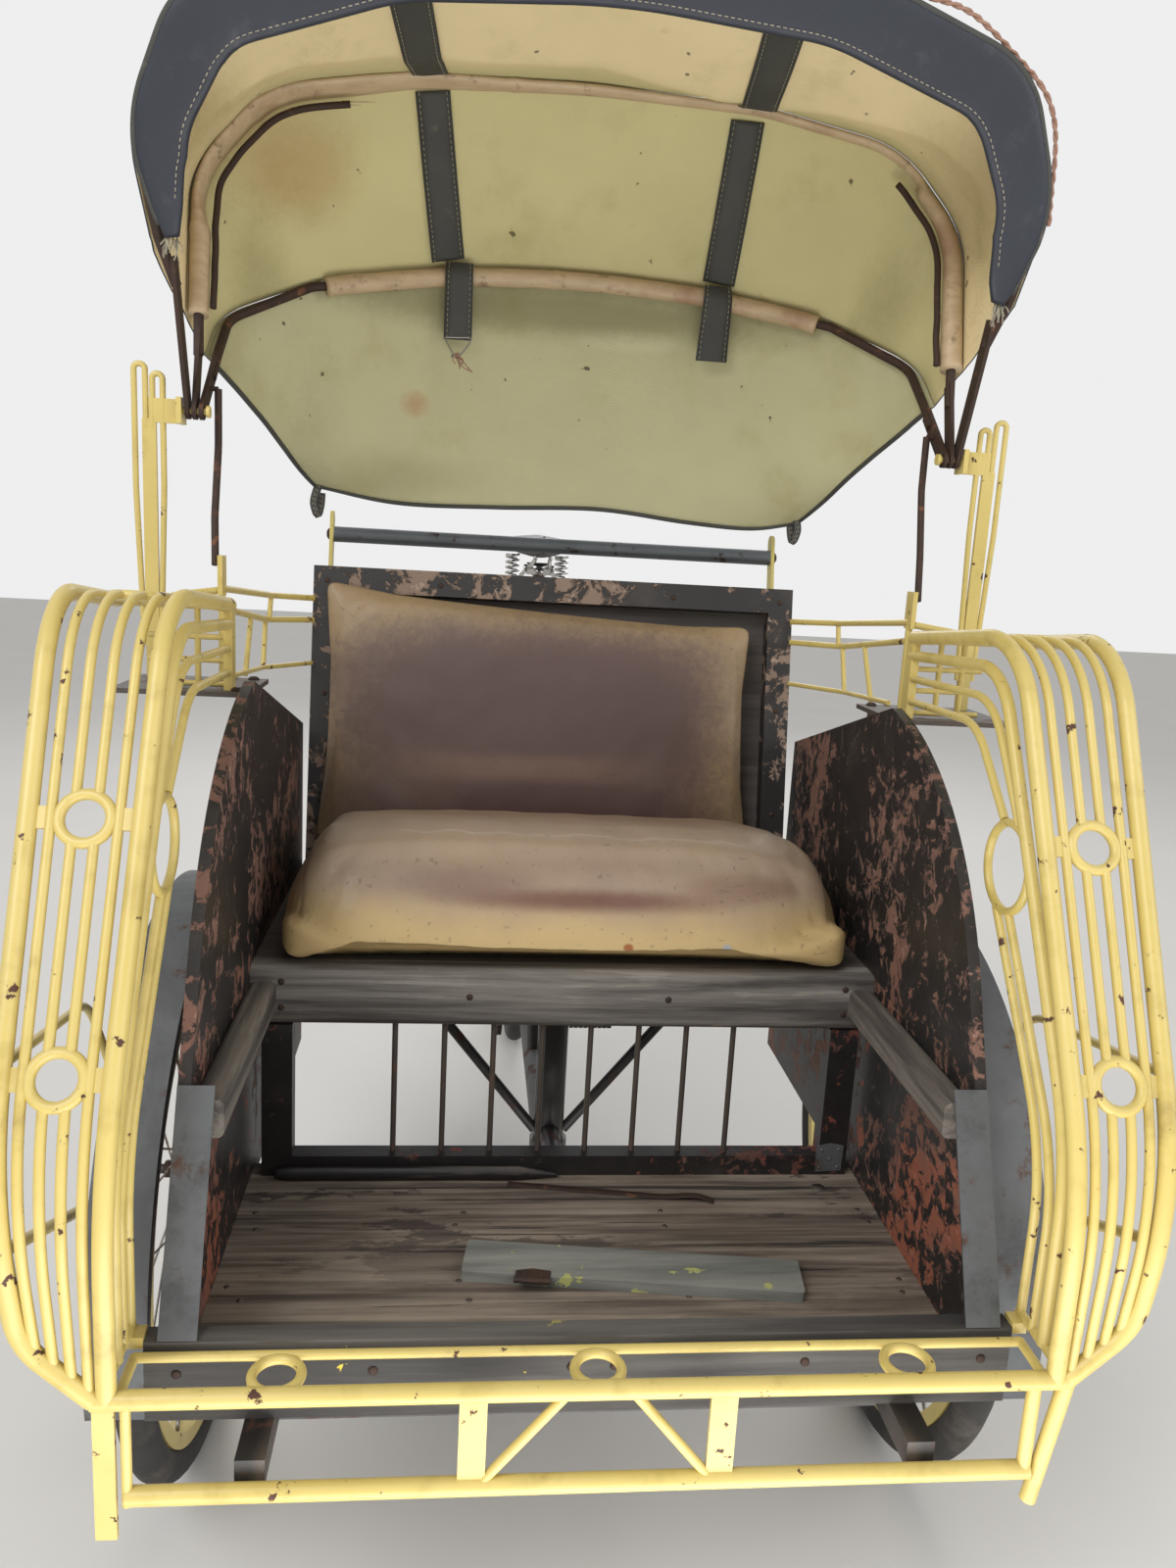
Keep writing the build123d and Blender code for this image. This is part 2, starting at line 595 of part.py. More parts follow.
def rear_bracket():
    """A black plate beside the top of the side panel, which carries the guard and the hood post."""
    panel_x = CABIN_HALF + PANEL_T
    shelf = block(panel_x, POST_X + 20, 505, 645, BRACKET_TOP - BRACKET_T, BRACKET_TOP)
    leg = block(panel_x, panel_x + BRACKET_T, 505, 600, BRACKET_TOP - 70, BRACKET_TOP)
    return shelf + leg


def side_rods():
    """The rods behind the guard, with the lug that holds the foot of the hood's stay."""
    back_x, back_y, x = BACK_HALF, BACK_Y + 65, FOOT_X
    lug_low = FOOT_Z - 32
    pieces = [
        tube([(back_x, back_y + 5, 1040), (x - 22, 850, 1046), (x, PIVOT_Y, lug_low + 4)], ROD_R, [60]),
        tube([(back_x, back_y, 1008), (x - 16, 840, 1012), (x, PIVOT_Y, lug_low - 20)], ROD_R, [60]),
        tube([(back_x, back_y - 12, 944), (x - 20, 800, 948), (x - 10, 640, BRACKET_TOP + WIRE_R)], WIRE_R, [60]),
        tube([(x - 22, 850, 1044), (x - 20, 846, 1011)], WIRE_R),
        tube([(x - 16, 838, 1012), (x - 19, 800, 946)], WIRE_R),
        tube([(x - 10, 760, 1024), (x - 13, 700, 948)], WIRE_R),
        tube([(x, PIVOT_Y, lug_low + 2), (x + 42, 575, 1056), (x + 60, GUARD_REAR_Y + 9, GUARD_TOP_Z)], ROD_R, [30]),
        tube([(FOOT_X, PIVOT_Y, lug_low), (FOOT_X, PIVOT_Y, BRACKET_TOP)], ROD_R),
        block(FOOT_X - 3, FOOT_X + 3, PIVOT_Y - 12, PIVOT_Y + 12, lug_low - 4, FOOT_Z + 12),
    ]
    return joined(pieces)


def front_mudguard():
    """A sheet over a front wheel, with a tab to the side panel."""
    sheet = mudguard(HALF_TRACK, FRONT_AXLE_Y, *FRONT_MUDGUARD_ARC)
    top = WHEEL_R + WHEEL_R + TYRE_GAP
    tab = block(CABIN_HALF + PANEL_T, HALF_TRACK - MUDGUARD_HALF + MUDGUARD_T / 2,
                FRONT_AXLE_Y - TAB_HALF, FRONT_AXLE_Y + TAB_HALF, top - TAB_DROP, top - TAB_DROP + MUDGUARD_T)
    return sheet + tab


# Handlebar and its uprights behind the backrest

def upright():
    low, high = SEAT_UNDER - BEARER_H, UPRIGHT_TOP
    half = UPRIGHT_W / 2
    foot_y = SEAT_BACK_Y + half
    slope = (HANDLEBAR_Y - foot_y) / (HANDLEBAR_Z - low)
    top_y = foot_y + slope * (high - low)
    sides = Polyline((foot_y - half, low), (top_y - half, high - half), (top_y + half, high - half),
                     (foot_y + half, low), close=True)
    top = Pos(top_y, high - half) * Circle(half)
    strip = side_plate(sides, HANDLEBAR_HALF, HANDLEBAR_HALF + UPRIGHT_T)
    cap = Location((HANDLEBAR_HALF, 0, 0)) * extrude(Plane.YZ * top, amount=UPRIGHT_T, dir=(1, 0, 0))
    foot = block(HANDLEBAR_HALF, HANDLEBAR_HALF + UPRIGHT_T, SEAT_BACK_Y, SEAT_BACK_Y + UPRIGHT_W, low, SEAT_UNDER)
    return strip + cap + foot


def handlebar():
    bar = across(-HANDLEBAR_HALF, HANDLEBAR_HALF, HANDLEBAR_Y, HANDLEBAR_Z, HANDLEBAR_R)
    return joined([bar, upright(), mirrored(upright())])


# Hood

# Each bow in its own plane through the pivots: lean back in degrees, radius of the hoop,
# then half its outline from the arm to the crown as (x, distance from the pivots, bend radius)
BOWS = {
    "front": (-21, BOW_ROD_R, ((LUG_X + 9, 190, None), (LUG_X + 23, 300, 150), (LUG_X - 43, 425, 120),
                               (LUG_X - 248, 490, 300), (0, 507, 900))),
    "middle": (17, BAMBOO_R, ((LUG_X - 11, 120, None), (LUG_X - 7, 300, 130), (LUG_X - 83, 405, 120),
                              (LUG_X - 263, 442, 300), (0, 450, 900))),
    "rear": (50, BAMBOO_R, ((LUG_X - 21, 120, None), (LUG_X - 23, 205, 90), (LUG_X - 138, 305, 150),
                            (LUG_X - 303, 355, 300), (0, 375, 900))),
}
# The rear arm's rod goes on up to the end of its hoop
RISERS = {"rear": (((LUG_X - 23, 205), (LUG_X - 119, 299), (LUG_X - 138, 305)), [60, 50, 12])}
ARM_SLOTS = ("front", "middle", "rear")
STACK = ARM_T + ARM_GAP


def arm_x(name):
    """The inner face of a bow's arm, in its slot on the pivot pin."""
    return LUG_X - (ARM_SLOTS.index(name) + 1) * STACK


def in_plane(name, x, r):
    lean = radians(BOWS[name][0])
    return (x, PIVOT_Y + r * sin(lean), PIVOT_Z + r * cos(lean))


def hoop(name, first=0):
    """The bow's hoop over the cabin, from the given corner of its outline."""
    _, radius, half = BOWS[name]
    half = half[first:]
    corners = [*half, *[(-x, r, bend) for x, r, bend in half[-2::-1]]]
    bends = [bend for *_, bend in corners[1:-1]]
    return tube([in_plane(name, x, r) for x, r, _ in corners], radius, bends)


def arm(name):
    """A flat arm from the pin to the end of the hoop."""
    lean, _, half = BOWS[name]
    lean = radians(lean)
    x0, r0, _ = half[0]
    inner = arm_x(name)
    turned = Plane(origin=(inner, PIVOT_Y, PIVOT_Z), x_dir=(0, cos(lean), -sin(lean)), z_dir=(1, 0, 0))
    eye = Circle(ARM_HALF)
    strip = Pos(0, (r0 - 20) / 2) * Rectangle(2 * ARM_HALF, r0 - 20)
    flat = extrude(turned * (eye + strip), amount=ARM_T)
    riser, bends = RISERS.get(name, ((), []))
    corners = [(inner + ARM_T / 2, r0 - 50), (x0, r0), *riser]
    neck = tube([in_plane(name, x, r) for x, r in corners], ARM_T + 1, bends)
    bore = across(inner - 5, inner + ARM_T + 5, PIVOT_Y, PIVOT_Z, PIN_R + RUNNING_FIT)
    return flat + neck - bore


def cloth_edge(name, offset, turn=0):
    """A bow's outline pushed out by the offset, as points in the bow's plane."""
    lean, _, half = BOWS[name]
    lean = radians(lean + turn)
    corners = [(x, r) for x, r, _ in half] + [(-x, r) for x, r, _ in half[-2::-1]]
    runs = [Vector(x1 - x0, r1 - r0).normalized() for (x0, r0), (x1, r1) in zip(corners, corners[1:])]
    normals = [Vector(run.Y, -run.X) for run in runs]
    points = []
    for (x, r), before, after in zip(corners, [normals[0], *normals], [*normals, normals[-1]]):
        out = (before + after) * (offset / (1 + before.dot(after)))
        points.append((x + out.X, PIVOT_Y + (r + out.Y) * sin(lean), PIVOT_Z + (r + out.Y) * cos(lean)))
    return points


def cloth_face(name, offset, turn=0):
    inner = cloth_edge(name, offset, turn)
    outer = cloth_edge(name, offset + CLOTH_T, turn)
    return make_face(Polyline(*inner, *outer[::-1], close=True))


def canopy(first, second, ease):
    """Cloth from one bow to the next, with the ease that it needs to clear the first one."""
    one = cloth_face(first, BOWS[first][1] + ease, SEAM_TURN)
    other = cloth_face(second, BOWS[second][1] + CLOTH_EASE, -SEAM_TURN)
    return loft([one, other], ruled=True)


def valance():
    """The stiff black band that hangs from the front bow."""
    outer = cloth_edge("front", BOW_ROD_R + VALANCE_OUT)
    inner = cloth_edge("front", -VALANCE_IN)
    face = make_face(Polyline(*inner, *outer[::-1], close=True))
    forward = Vector(0, -cos(radians(BOWS["front"][0])), sin(radians(BOWS["front"][0])))
    return Location(forward * (BOW_ROD_R + SOFT_GAP)) * extrude(face, amount=CLOTH_T, dir=forward)


def rear_curtain():
    """Cloth that hangs from the rear bow down behind the backrest."""
    top = cloth_face("rear", BAMBOO_R + CURTAIN_EASE, SEAM_TURN)
    count = 2 * len(BOWS["rear"][2]) - 1
    xs = [CURTAIN_HALF * (1 - 2 * row / (count - 1)) for row in range(count)]
    front = [(x, CURTAIN_Y, CURTAIN_Z) for x in xs]
    back = [(x, CURTAIN_Y + CLOTH_T, CURTAIN_Z) for x in xs]
    return loft([top, make_face(Polyline(*front, *back[::-1], close=True))], ruled=True)


def hood_post():
    """A flat bar with a hairpin of thin rod on each side, the hood's lug and its pin."""
    half = POST_W / 2
    top = PIVOT_Z - 12
    pieces = [block(POST_X - half, POST_X + half, PIVOT_Y - POST_T / 2, PIVOT_Y + POST_T / 2, BRACKET_TOP, top)]
    for outer, inner, peak in ((-16, -4, 1312), (17, 4, 1322)):
        points = [(POST_X + outer * 0.6, PIVOT_Y, BRACKET_TOP + 40), (POST_X + outer, PIVOT_Y, 1180),
                  (POST_X + outer, PIVOT_Y, peak), (POST_X + inner, PIVOT_Y, peak), (POST_X + inner, PIVOT_Y, top - 10)]
        pieces.append(tube(points, WIRE_R, [400, 5.9, 5.9]))
    pieces.append(block(LUG_X, POST_X, PIVOT_Y - 3, PIVOT_Y + 3, PIVOT_Z - 16, PIVOT_Z + 12))
    pieces.append(block(LUG_X, LUG_X + 6, PIVOT_Y - 14, PIVOT_Y + 14, PIVOT_Z - 16, PIVOT_Z + 14))
    pin_end = arm_x("rear") - ARM_GAP
    pieces.append(across(pin_end, LUG_X + 3, PIVOT_Y, PIVOT_Z, PIN_R))
    pieces.append(across(pin_end - 4, pin_end, PIVOT_Y, PIVOT_Z, PIN_HEAD_R))
    return joined(pieces)


def lower_stay():
    """The rod that holds the rear bow's arm down to the lug behind the guard."""
    x = arm_x("rear") - 9
    top = in_plane("rear", x, STAY_HOLD)
    foot = (FOOT_X + 3 + 4.8, PIVOT_Y, FOOT_Z)
    rod = tube([top, (x, 655, 1235), (x + 2, 640, 1150), foot], ROD_R, [80, 60])
    bolt = tube([top, in_plane("rear", arm_x("rear"), STAY_HOLD)], 3)
    return rod + bolt


# Rear frame with the steering stem

def rear_frame():
    stem_top = SEAT_UNDER - BEARER_H - 3 * STEM_GAP
    pieces = [
        tube([(0, STEER_Y, MAIN_TUBE_Z - MAIN_TUBE_R - 2), (0, STEER_Y, stem_top)], STEM_R),
        tube([(0, STEER_Y, MAIN_TUBE_Z - MAIN_TUBE_R - 2), (0, STEER_Y, HEAD_BOTTOM - 0.5)], COLLAR_R),
        tube([(0, STEER_Y, MAIN_TUBE_Z), (0, SHELL_Y, SHELL_Z)], MAIN_TUBE_R),
        tube([(0, 960, MAIN_TUBE_Z), (0, CLUSTER_Y - 12, CLUSTER_Z - 45)], SEAT_TUBE_R - 1),
        tube([(0, SHELL_Y, SHELL_Z), (0, CLUSTER_Y, CLUSTER_Z)], SEAT_TUBE_R),
        across(-SHELL_HALF, SHELL_HALF, SHELL_Y, SHELL_Z, SHELL_R),
        across(-CLUSTER_HALF - 8, CLUSTER_HALF + 8, CLUSTER_Y, CLUSTER_Z - 20, SEAT_STAY_R + 1),
    ]
    for side in (-1, 1):
        end = (side * DROPOUT_X, REAR_AXLE_Y, WHEEL_R)
        pieces.append(tube([(side * 25, SHELL_Y, SHELL_Z), end], STAY_R))
        pieces.append(tube([(side * CLUSTER_HALF, CLUSTER_Y, CLUSTER_Z - 20), end], SEAT_STAY_R))
        plate = (side * (DROPOUT_X - 3), side * (DROPOUT_X + 3))
        pieces.append(across(*plate, REAR_AXLE_Y, WHEEL_R, DROPOUT_R))
    pieces.append(across(-DROPOUT_X - 14, DROPOUT_X + 14, REAR_AXLE_Y, WHEEL_R, AXLE_R))
    reach = WHEEL_R + TYRE_GAP + MUDGUARD_T + ROD_R
    stay = Vector(0, CLUSTER_Y - REAR_AXLE_Y, CLUSTER_Z - 20 - WHEEL_R).normalized()
    bridge = Vector(0, REAR_AXLE_Y, WHEEL_R) + stay * reach
    pieces.append(across(-38, 38, bridge.Y, bridge.Z, ROD_R))
    solid = joined(pieces)
    spindle = across(-SHELL_HALF - 5, SHELL_HALF + 5, SHELL_Y, SHELL_Z, SPINDLE_R + RUNNING_FIT)
    return solid - spindle


def rear_mudguard():
    """A sheet over the rear wheel, with a stay on each side to the axle."""
    pieces = [mudguard(0, REAR_AXLE_Y, *REAR_MUDGUARD_ARC)]
    reach = WHEEL_R + TYRE_GAP - 4
    turn = radians(MUDGUARD_STAY_TURN)
    y, z = REAR_AXLE_Y - reach * cos(turn), WHEEL_R + reach * sin(turn)
    for side in (-1, 1):
        x = side * (DROPOUT_X + STAY_R + 3)
        root = (x, REAR_AXLE_Y - DROPOUT_R * cos(turn), WHEEL_R + DROPOUT_R * sin(turn))
        pieces.append(tube([root, (side * MUDGUARD_HALF, y, z)], MUDGUARD_STAY_R))
        pieces.append(across(x - 2, x + 2, REAR_AXLE_Y, WHEEL_R, DROPOUT_R + 3))
    axle = across(-DROPOUT_X - 20, DROPOUT_X + 20, REAR_AXLE_Y, WHEEL_R, AXLE_R + RUNNING_FIT)
    return joined(pieces) - axle


def saddle():
    """A sprung saddle: a padded top that narrows to its nose, and its post with rails and coils."""
    rise = (CLUSTER_Y - SHELL_Y) / (CLUSTER_Z - SHELL_Z)
    post_top = SADDLE_TOP - SADDLE_T - 30
    post_y = CLUSTER_Y + rise * (post_top - CLUSTER_Z)
    post = tube([(0, CLUSTER_Y, CLUSTER_Z), (0, post_y, post_top)], SEAT_TUBE_R - 3)
    rear_y = SADDLE_NOSE_Y + SADDLE_L
    low = SADDLE_TOP - SADDLE_T
    wide = SADDLE_W / 2
    corners = ((0, SADDLE_NOSE_Y + SADDLE_NOSE_R, SADDLE_NOSE_R),
               (wide - SADDLE_WING_R, rear_y - SADDLE_WING_R, SADDLE_WING_R),
               (SADDLE_WING_R - wide, rear_y - SADDLE_WING_R, SADDLE_WING_R))
    circles = [edge for x, y, radius in corners for edge in (Pos(x, y) * Circle(radius)).edges()]
    pad = extrude(Pos(0, 0, low) * make_hull(circles), amount=SADDLE_T)
    top = fillet(pad.edges().group_by(Axis.Z)[-1], SADDLE_SOFT)
    coil_z = low - 55
    rails = [tube([(x, SADDLE_NOSE_Y + 20, low - 4), (x * 1.6, post_y, low - 26), (x * 3.2, rear_y - 50, coil_z)], 4, [120])
             for x in (-14, 14)]
    cross = across(-60, 60, rear_y - 50, coil_z, 5)
    coils = [tube([(x, rear_y - 50, coil_z), (x, rear_y - 50, low)], 15) for x in (-50, 50)]
    clamp = across(-24, 24, post_y, low - 26, 12)
    return top, joined([post, *rails, cross, *coils, clamp])


# Drive

def toothed_plate(radius, windows):
    """A chain wheel of thin plate, with windows between its arms."""
    plate = Circle(radius)
    for row in range(windows):
        plate -= Rot(0, 0, 360 * row / windows) * Pos(radius * 0.58, 0) * Circle(radius * 0.2)
    return plate


def crankset():
    shell = Plane(origin=(SPROCKET_X - PLATE_T / 2, SHELL_Y, SHELL_Z), z_dir=(1, 0, 0))
    pieces = [across(-CRANK_X - CRANK_T / 2, CRANK_X + CRANK_T / 2, SHELL_Y, SHELL_Z, SPINDLE_R),
              extrude(shell * toothed_plate(CHAINRING_R, 5), amount=PLATE_T)]
    for side in (-1, 1):
        x0 = side * CRANK_X - CRANK_T / 2
        end_y = SHELL_Y - side * CRANK
        pieces.append(across(x0, x0 + CRANK_T, SHELL_Y, SHELL_Z, 16))
        pieces.append(across(x0, x0 + CRANK_T, end_y, SHELL_Z, 11))
        pieces.append(block(x0, x0 + CRANK_T, min(SHELL_Y, end_y), max(SHELL_Y, end_y), SHELL_Z - 9, SHELL_Z + 9))
        pieces.append(across(side * CRANK_X, side * (CRANK_X + PEDAL_L + 8), end_y, SHELL_Z, PEDAL_PIN_R))
    return joined(pieces)


def pedal(side):
    y = SHELL_Y - side * CRANK
    x0 = side * (CRANK_X + CRANK_T / 2 + 5)
    x1 = side * (CRANK_X + PEDAL_L)
    body = block(min(x0, x1), max(x0, x1), y - PEDAL_W / 2, y + PEDAL_W / 2, SHELL_Z - PEDAL_H / 2, SHELL_Z + PEDAL_H / 2)
    body = fillet(body.edges().filter_by(Axis.X), 5)
    return body - across(x0 - 20 * side, x1 + 20 * side, y, SHELL_Z, PEDAL_PIN_R + RUNNING_FIT)


def chain():
    """The chain as a band round the chain wheel and the sprocket."""
    gap = CHAIN_GAP
    big, small = CHAINRING_R + gap, SPROCKET_R + gap
    front, back = (SHELL_Y, SHELL_Z), (REAR_AXLE_Y, WHEEL_R)

    def band(grow):
        circles = [*(Pos(*front) * Circle(big + grow)).edges(), *(Pos(*back) * Circle(small + grow)).edges()]
        return make_hull(circles)

    loop = band(CHAIN_H) - band(0)
    return Location((SPROCKET_X - CHAIN_W / 2, 0, 0)) * extrude(Plane.YZ * loop, amount=CHAIN_W, dir=(1, 0, 0))


def loose_board():
    """A broken slat of the front board that lies on the floor."""
    half, side = LOOSE_L / 2, LOOSE_W / 2
    plank = fillet(block(-half, half, -side, side, 0, LOOSE_T).edges().filter_by(Axis.Z), LOOSE_SOFT)
    return Location((*LOOSE_XY, FLOOR_TOP + SOFT_GAP), (0, 0, LOOSE_TURN)) * plank


make_wheels()
make_cabin()
save(chassis(), "chassis_frame")
save(bumper(), "front_bumper")
both_sides(guard(), "wheel_guard")
save(pair(rear_bracket()), "guard_brackets")
save(pair(side_rods()), "side_tie_rods")
save(pair(front_mudguard()), "front_mudguards")
save(pair(hood_post()), "hood_posts")
save(pair(lower_stay()), "hood_stays")
save(handlebar(), "handlebar")
save(loose_board(), "loose_board")
save(joined([hoop("front"), arm("front"), mirrored(arm("front"))]), "hood_front_bow")
save(valance(), "hood_valance")
save(hoop("middle"), "hood_middle_bow")
save(pair(arm("middle")), "hood_middle_arms")
save(hoop("rear", 2), "hood_rear_bow")
save(pair(arm("rear")), "hood_rear_arms")
save(canopy("front", "middle", CLOTH_EASE), "canopy_front")
save(canopy("middle", "rear", CLOTH_EASE_STEEP), "canopy_rear")
save(rear_curtain(), "rear_curtain")
save(rear_frame(), "rear_frame")
save(rear_mudguard(), "rear_mudguard")
saddle_top, saddle_support = saddle()
save(saddle_top, "saddle")
save(saddle_support, "saddle_support")
save(crankset(), "crankset")
save(pedal(-1), "pedal_left")
save(pedal(1), "pedal_right")
save(chain(), "chain")
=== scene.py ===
import math
import random
import bpy
import bmesh
import numpy as np
from mathutils import Matrix, Vector, noise


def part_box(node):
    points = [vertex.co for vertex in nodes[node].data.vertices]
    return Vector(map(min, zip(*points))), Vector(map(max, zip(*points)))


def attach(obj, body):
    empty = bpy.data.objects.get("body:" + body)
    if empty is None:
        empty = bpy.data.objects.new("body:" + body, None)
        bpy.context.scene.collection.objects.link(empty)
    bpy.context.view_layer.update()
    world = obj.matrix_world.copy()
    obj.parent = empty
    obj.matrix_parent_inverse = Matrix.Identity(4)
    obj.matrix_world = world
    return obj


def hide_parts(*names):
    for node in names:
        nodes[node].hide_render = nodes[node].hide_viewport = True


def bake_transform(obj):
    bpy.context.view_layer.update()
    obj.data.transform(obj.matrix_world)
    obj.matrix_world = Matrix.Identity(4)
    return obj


# The looks of a cycle rickshaw, in metres. Places are first written as in the part's source, in
# millimetres with y from the front bumper's axis, and at() brings them to the shared frame.
MIDDLE_Y = 1058.25
PIVOT = (620, 1272)
WHEEL_R, TYRE_R = 345, 20
FRONT_AXLE_Y, REAR_AXLE_Y, TRACK_HALF = 506, 1750, 447
SHELL_Y, SHELL_Z = 1310, 285
FLOOR_TOP = 373

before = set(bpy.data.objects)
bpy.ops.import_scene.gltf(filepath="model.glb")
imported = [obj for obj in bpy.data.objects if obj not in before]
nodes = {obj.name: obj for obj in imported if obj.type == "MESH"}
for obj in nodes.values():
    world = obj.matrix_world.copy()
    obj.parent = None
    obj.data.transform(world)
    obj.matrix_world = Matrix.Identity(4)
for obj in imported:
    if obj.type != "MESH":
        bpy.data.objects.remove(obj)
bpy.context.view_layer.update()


def at(x, y, z):
    return Vector((x / 1000, (y - MIDDLE_Y) / 1000, z / 1000))


def srgb(r, g, b):
    """A colour written in 0 to 255 steps, as the linear values that a shader takes."""
    parts = [c / 255 for c in (r, g, b)]
    return tuple(c / 12.92 if c <= 0.04045 else ((c + 0.055) / 1.055) ** 2.4 for c in parts) + (1.0,)


# Materials

class Finish:
    """A material made of noise, masks and mixed colours, in the object's own coordinates."""

    def __init__(self, name, metallic=0.0, roughness=0.6, coat=0.0):
        self.material = bpy.data.materials.new(name)
        self.material.use_nodes = True
        self.tree = self.material.node_tree
        self.tree.nodes.clear()
        output = self.tree.nodes.new("ShaderNodeOutputMaterial")
        self.shader = self.tree.nodes.new("ShaderNodeBsdfPrincipled")
        self.tree.links.new(self.shader.outputs[0], output.inputs[0])
        self.shader.inputs["Metallic"].default_value = metallic
        self.shader.inputs["Roughness"].default_value = roughness
        self.shader.inputs["Coat Weight"].default_value = coat
        self.shader.inputs["Specular IOR Level"].default_value = 0.5
        self.place = self.tree.nodes.new("ShaderNodeTexCoord").outputs["Object"]

    def put(self, socket, value):
        if isinstance(value, bpy.types.NodeSocket):
            self.tree.links.new(value, socket)
        else:
            socket.default_value = value

    def moved(self, stretch=(1, 1, 1), shift=(0, 0, 0), turn=(0, 0, 0)):
        node = self.tree.nodes.new("ShaderNodeMapping")
        self.put(node.inputs["Vector"], self.place)
        node.inputs["Scale"].default_value = stretch
        node.inputs["Location"].default_value = shift
        node.inputs["Rotation"].default_value = turn
        return node.outputs[0]

    def noise(self, scale, detail=5, rough=0.55, stretch=(1, 1, 1), shift=(0, 0, 0), warp=0.0):
        node = self.tree.nodes.new("ShaderNodeTexNoise")
        self.put(node.inputs["Vector"], self.moved(stretch, shift))
        node.inputs["Scale"].default_value = scale
        node.inputs["Detail"].default_value = detail
        node.inputs["Roughness"].default_value = rough
        node.inputs["Distortion"].default_value = warp
        return node.outputs["Fac"]

    def cells(self, scale, feature="F1"):
        node = self.tree.nodes.new("ShaderNodeTexVoronoi")
        node.feature = feature
        self.put(node.inputs["Vector"], self.moved())
        node.inputs["Scale"].default_value = scale
        return node.outputs["Distance"]

    def waves(self, scale, turn=(0, 0, 0)):
        node = self.tree.nodes.new("ShaderNodeTexWave")
        self.put(node.inputs["Vector"], self.moved(turn=turn))
        node.inputs["Scale"].default_value = scale
        node.inputs["Detail Scale"].default_value = 2.0
        return node.outputs["Fac"]

    def step(self, value, low, high):
        """0 below low, 1 above high, smooth between them; low may be above high."""
        node = self.tree.nodes.new("ShaderNodeMapRange")
        node.interpolation_type = "SMOOTHSTEP"
        flip = low > high
        self.put(node.inputs["Value"], value)
        node.inputs["From Min"].default_value = min(low, high)
        node.inputs["From Max"].default_value = max(low, high)
        node.inputs["To Min"].default_value = 1.0 if flip else 0.0
        node.inputs["To Max"].default_value = 0.0 if flip else 1.0
        return node.outputs["Result"]

    def calc(self, kind, a, b):
        node = self.tree.nodes.new("ShaderNodeMath")
        node.operation = kind
        self.put(node.inputs[0], a)
        self.put(node.inputs[1], b)
        return node.outputs[0]

    def times(self, a, b):
        return self.calc("MULTIPLY", a, b)

    def plus(self, a, b):
        return self.calc("ADD", a, b)

    def most(self, a, b):
        return self.calc("MAXIMUM", a, b)

    def mix(self, share, a, b):
        node = self.tree.nodes.new("ShaderNodeMixRGB")
        self.put(node.inputs[0], share)
        self.put(node.inputs[1], a)
        self.put(node.inputs[2], b)
        return node.outputs[0]

    def axis(self, letter):
        node = self.tree.nodes.new("ShaderNodeSeparateXYZ")
        self.put(node.inputs[0], self.place)
        return node.outputs[letter]

    def blob(self, centre, size, soft=0.5, wobble=0.25, scale=6.0, square=2.0):
        """A soft-edged field round a place, with an uneven border; a higher square gives a fuller box."""
        shifted = self.moved(stretch=[1 / s for s in size], shift=[-c / s for c, s in zip(centre, size)])
        split = self.tree.nodes.new("ShaderNodeSeparateXYZ")
        self.put(split.inputs[0], shifted)
        total = 0.0
        for letter in "XYZ":
            reach = self.calc("ABSOLUTE", split.outputs[letter], 0.0)
            total = self.plus(self.calc("POWER", reach, square), total)
        length = self.calc("POWER", total, 1 / square)
        uneven = self.times(self.plus(self.noise(scale, 6, 0.6), -0.5), wobble * 2)
        speckled = self.times(self.plus(self.noise(scale * 11, 6, 0.75), -0.5), wobble * 1.6)
        return self.step(self.plus(length, self.plus(uneven, speckled)), 1.0 + soft / 2, 1.0 - soft / 2)

    def edges(self, low, high):
        """Where the surface is convex, as on worn edges."""
        node = self.tree.nodes.new("ShaderNodeNewGeometry")
        return self.step(node.outputs["Pointiness"], low, high)

    def done(self, colour, roughness=None, height=None, bump=0.3, depth=0.002, metallic=None):
        self.put(self.shader.inputs["Base Color"], colour)
        if roughness is not None:
            self.put(self.shader.inputs["Roughness"], roughness)
        if metallic is not None:
            self.put(self.shader.inputs["Metallic"], metallic)
        if height is not None:
            node = self.tree.nodes.new("ShaderNodeBump")
            node.inputs["Strength"].default_value = bump
            node.inputs["Distance"].default_value = depth
            self.put(node.inputs["Height"], height)
            self.put(self.shader.inputs["Normal"], node.outputs[0])
        return self.material


RUST = srgb(92, 52, 34)
DARK_RUST = srgb(52, 34, 27)


def yellow_paint():
    """Thick lemon paint with small chips down to rust and a little grime."""
    f = Finish("yellow_paint", roughness=0.42, coat=0.12)
    tint = f.mix(f.noise(7, 3), srgb(192, 170, 88), srgb(210, 190, 120))
    tint = f.mix(f.times(f.step(f.noise(26, 4), 0.52, 0.75), 0.5), tint, srgb(170, 148, 76))
    grime = f.times(f.step(f.noise(11, 6, 0.7, shift=(3, 1, 2)), 0.56, 0.78), 0.5)
    tint = f.mix(grime, tint, srgb(140, 116, 62))
    chips = f.step(f.noise(46, 5, 0.62, shift=(7, 4, 1)), 0.645, 0.68)
    tint = f.mix(chips, tint, f.mix(f.noise(90, 3), RUST, DARK_RUST))
    rough = f.plus(f.times(chips, 0.4), f.plus(0.36, f.times(f.noise(30, 3), 0.14)))
    height = f.calc("SUBTRACT", f.times(f.noise(60, 3), 0.35), chips)
    return f.done(tint, rough, height, bump=0.5, depth=0.0012)


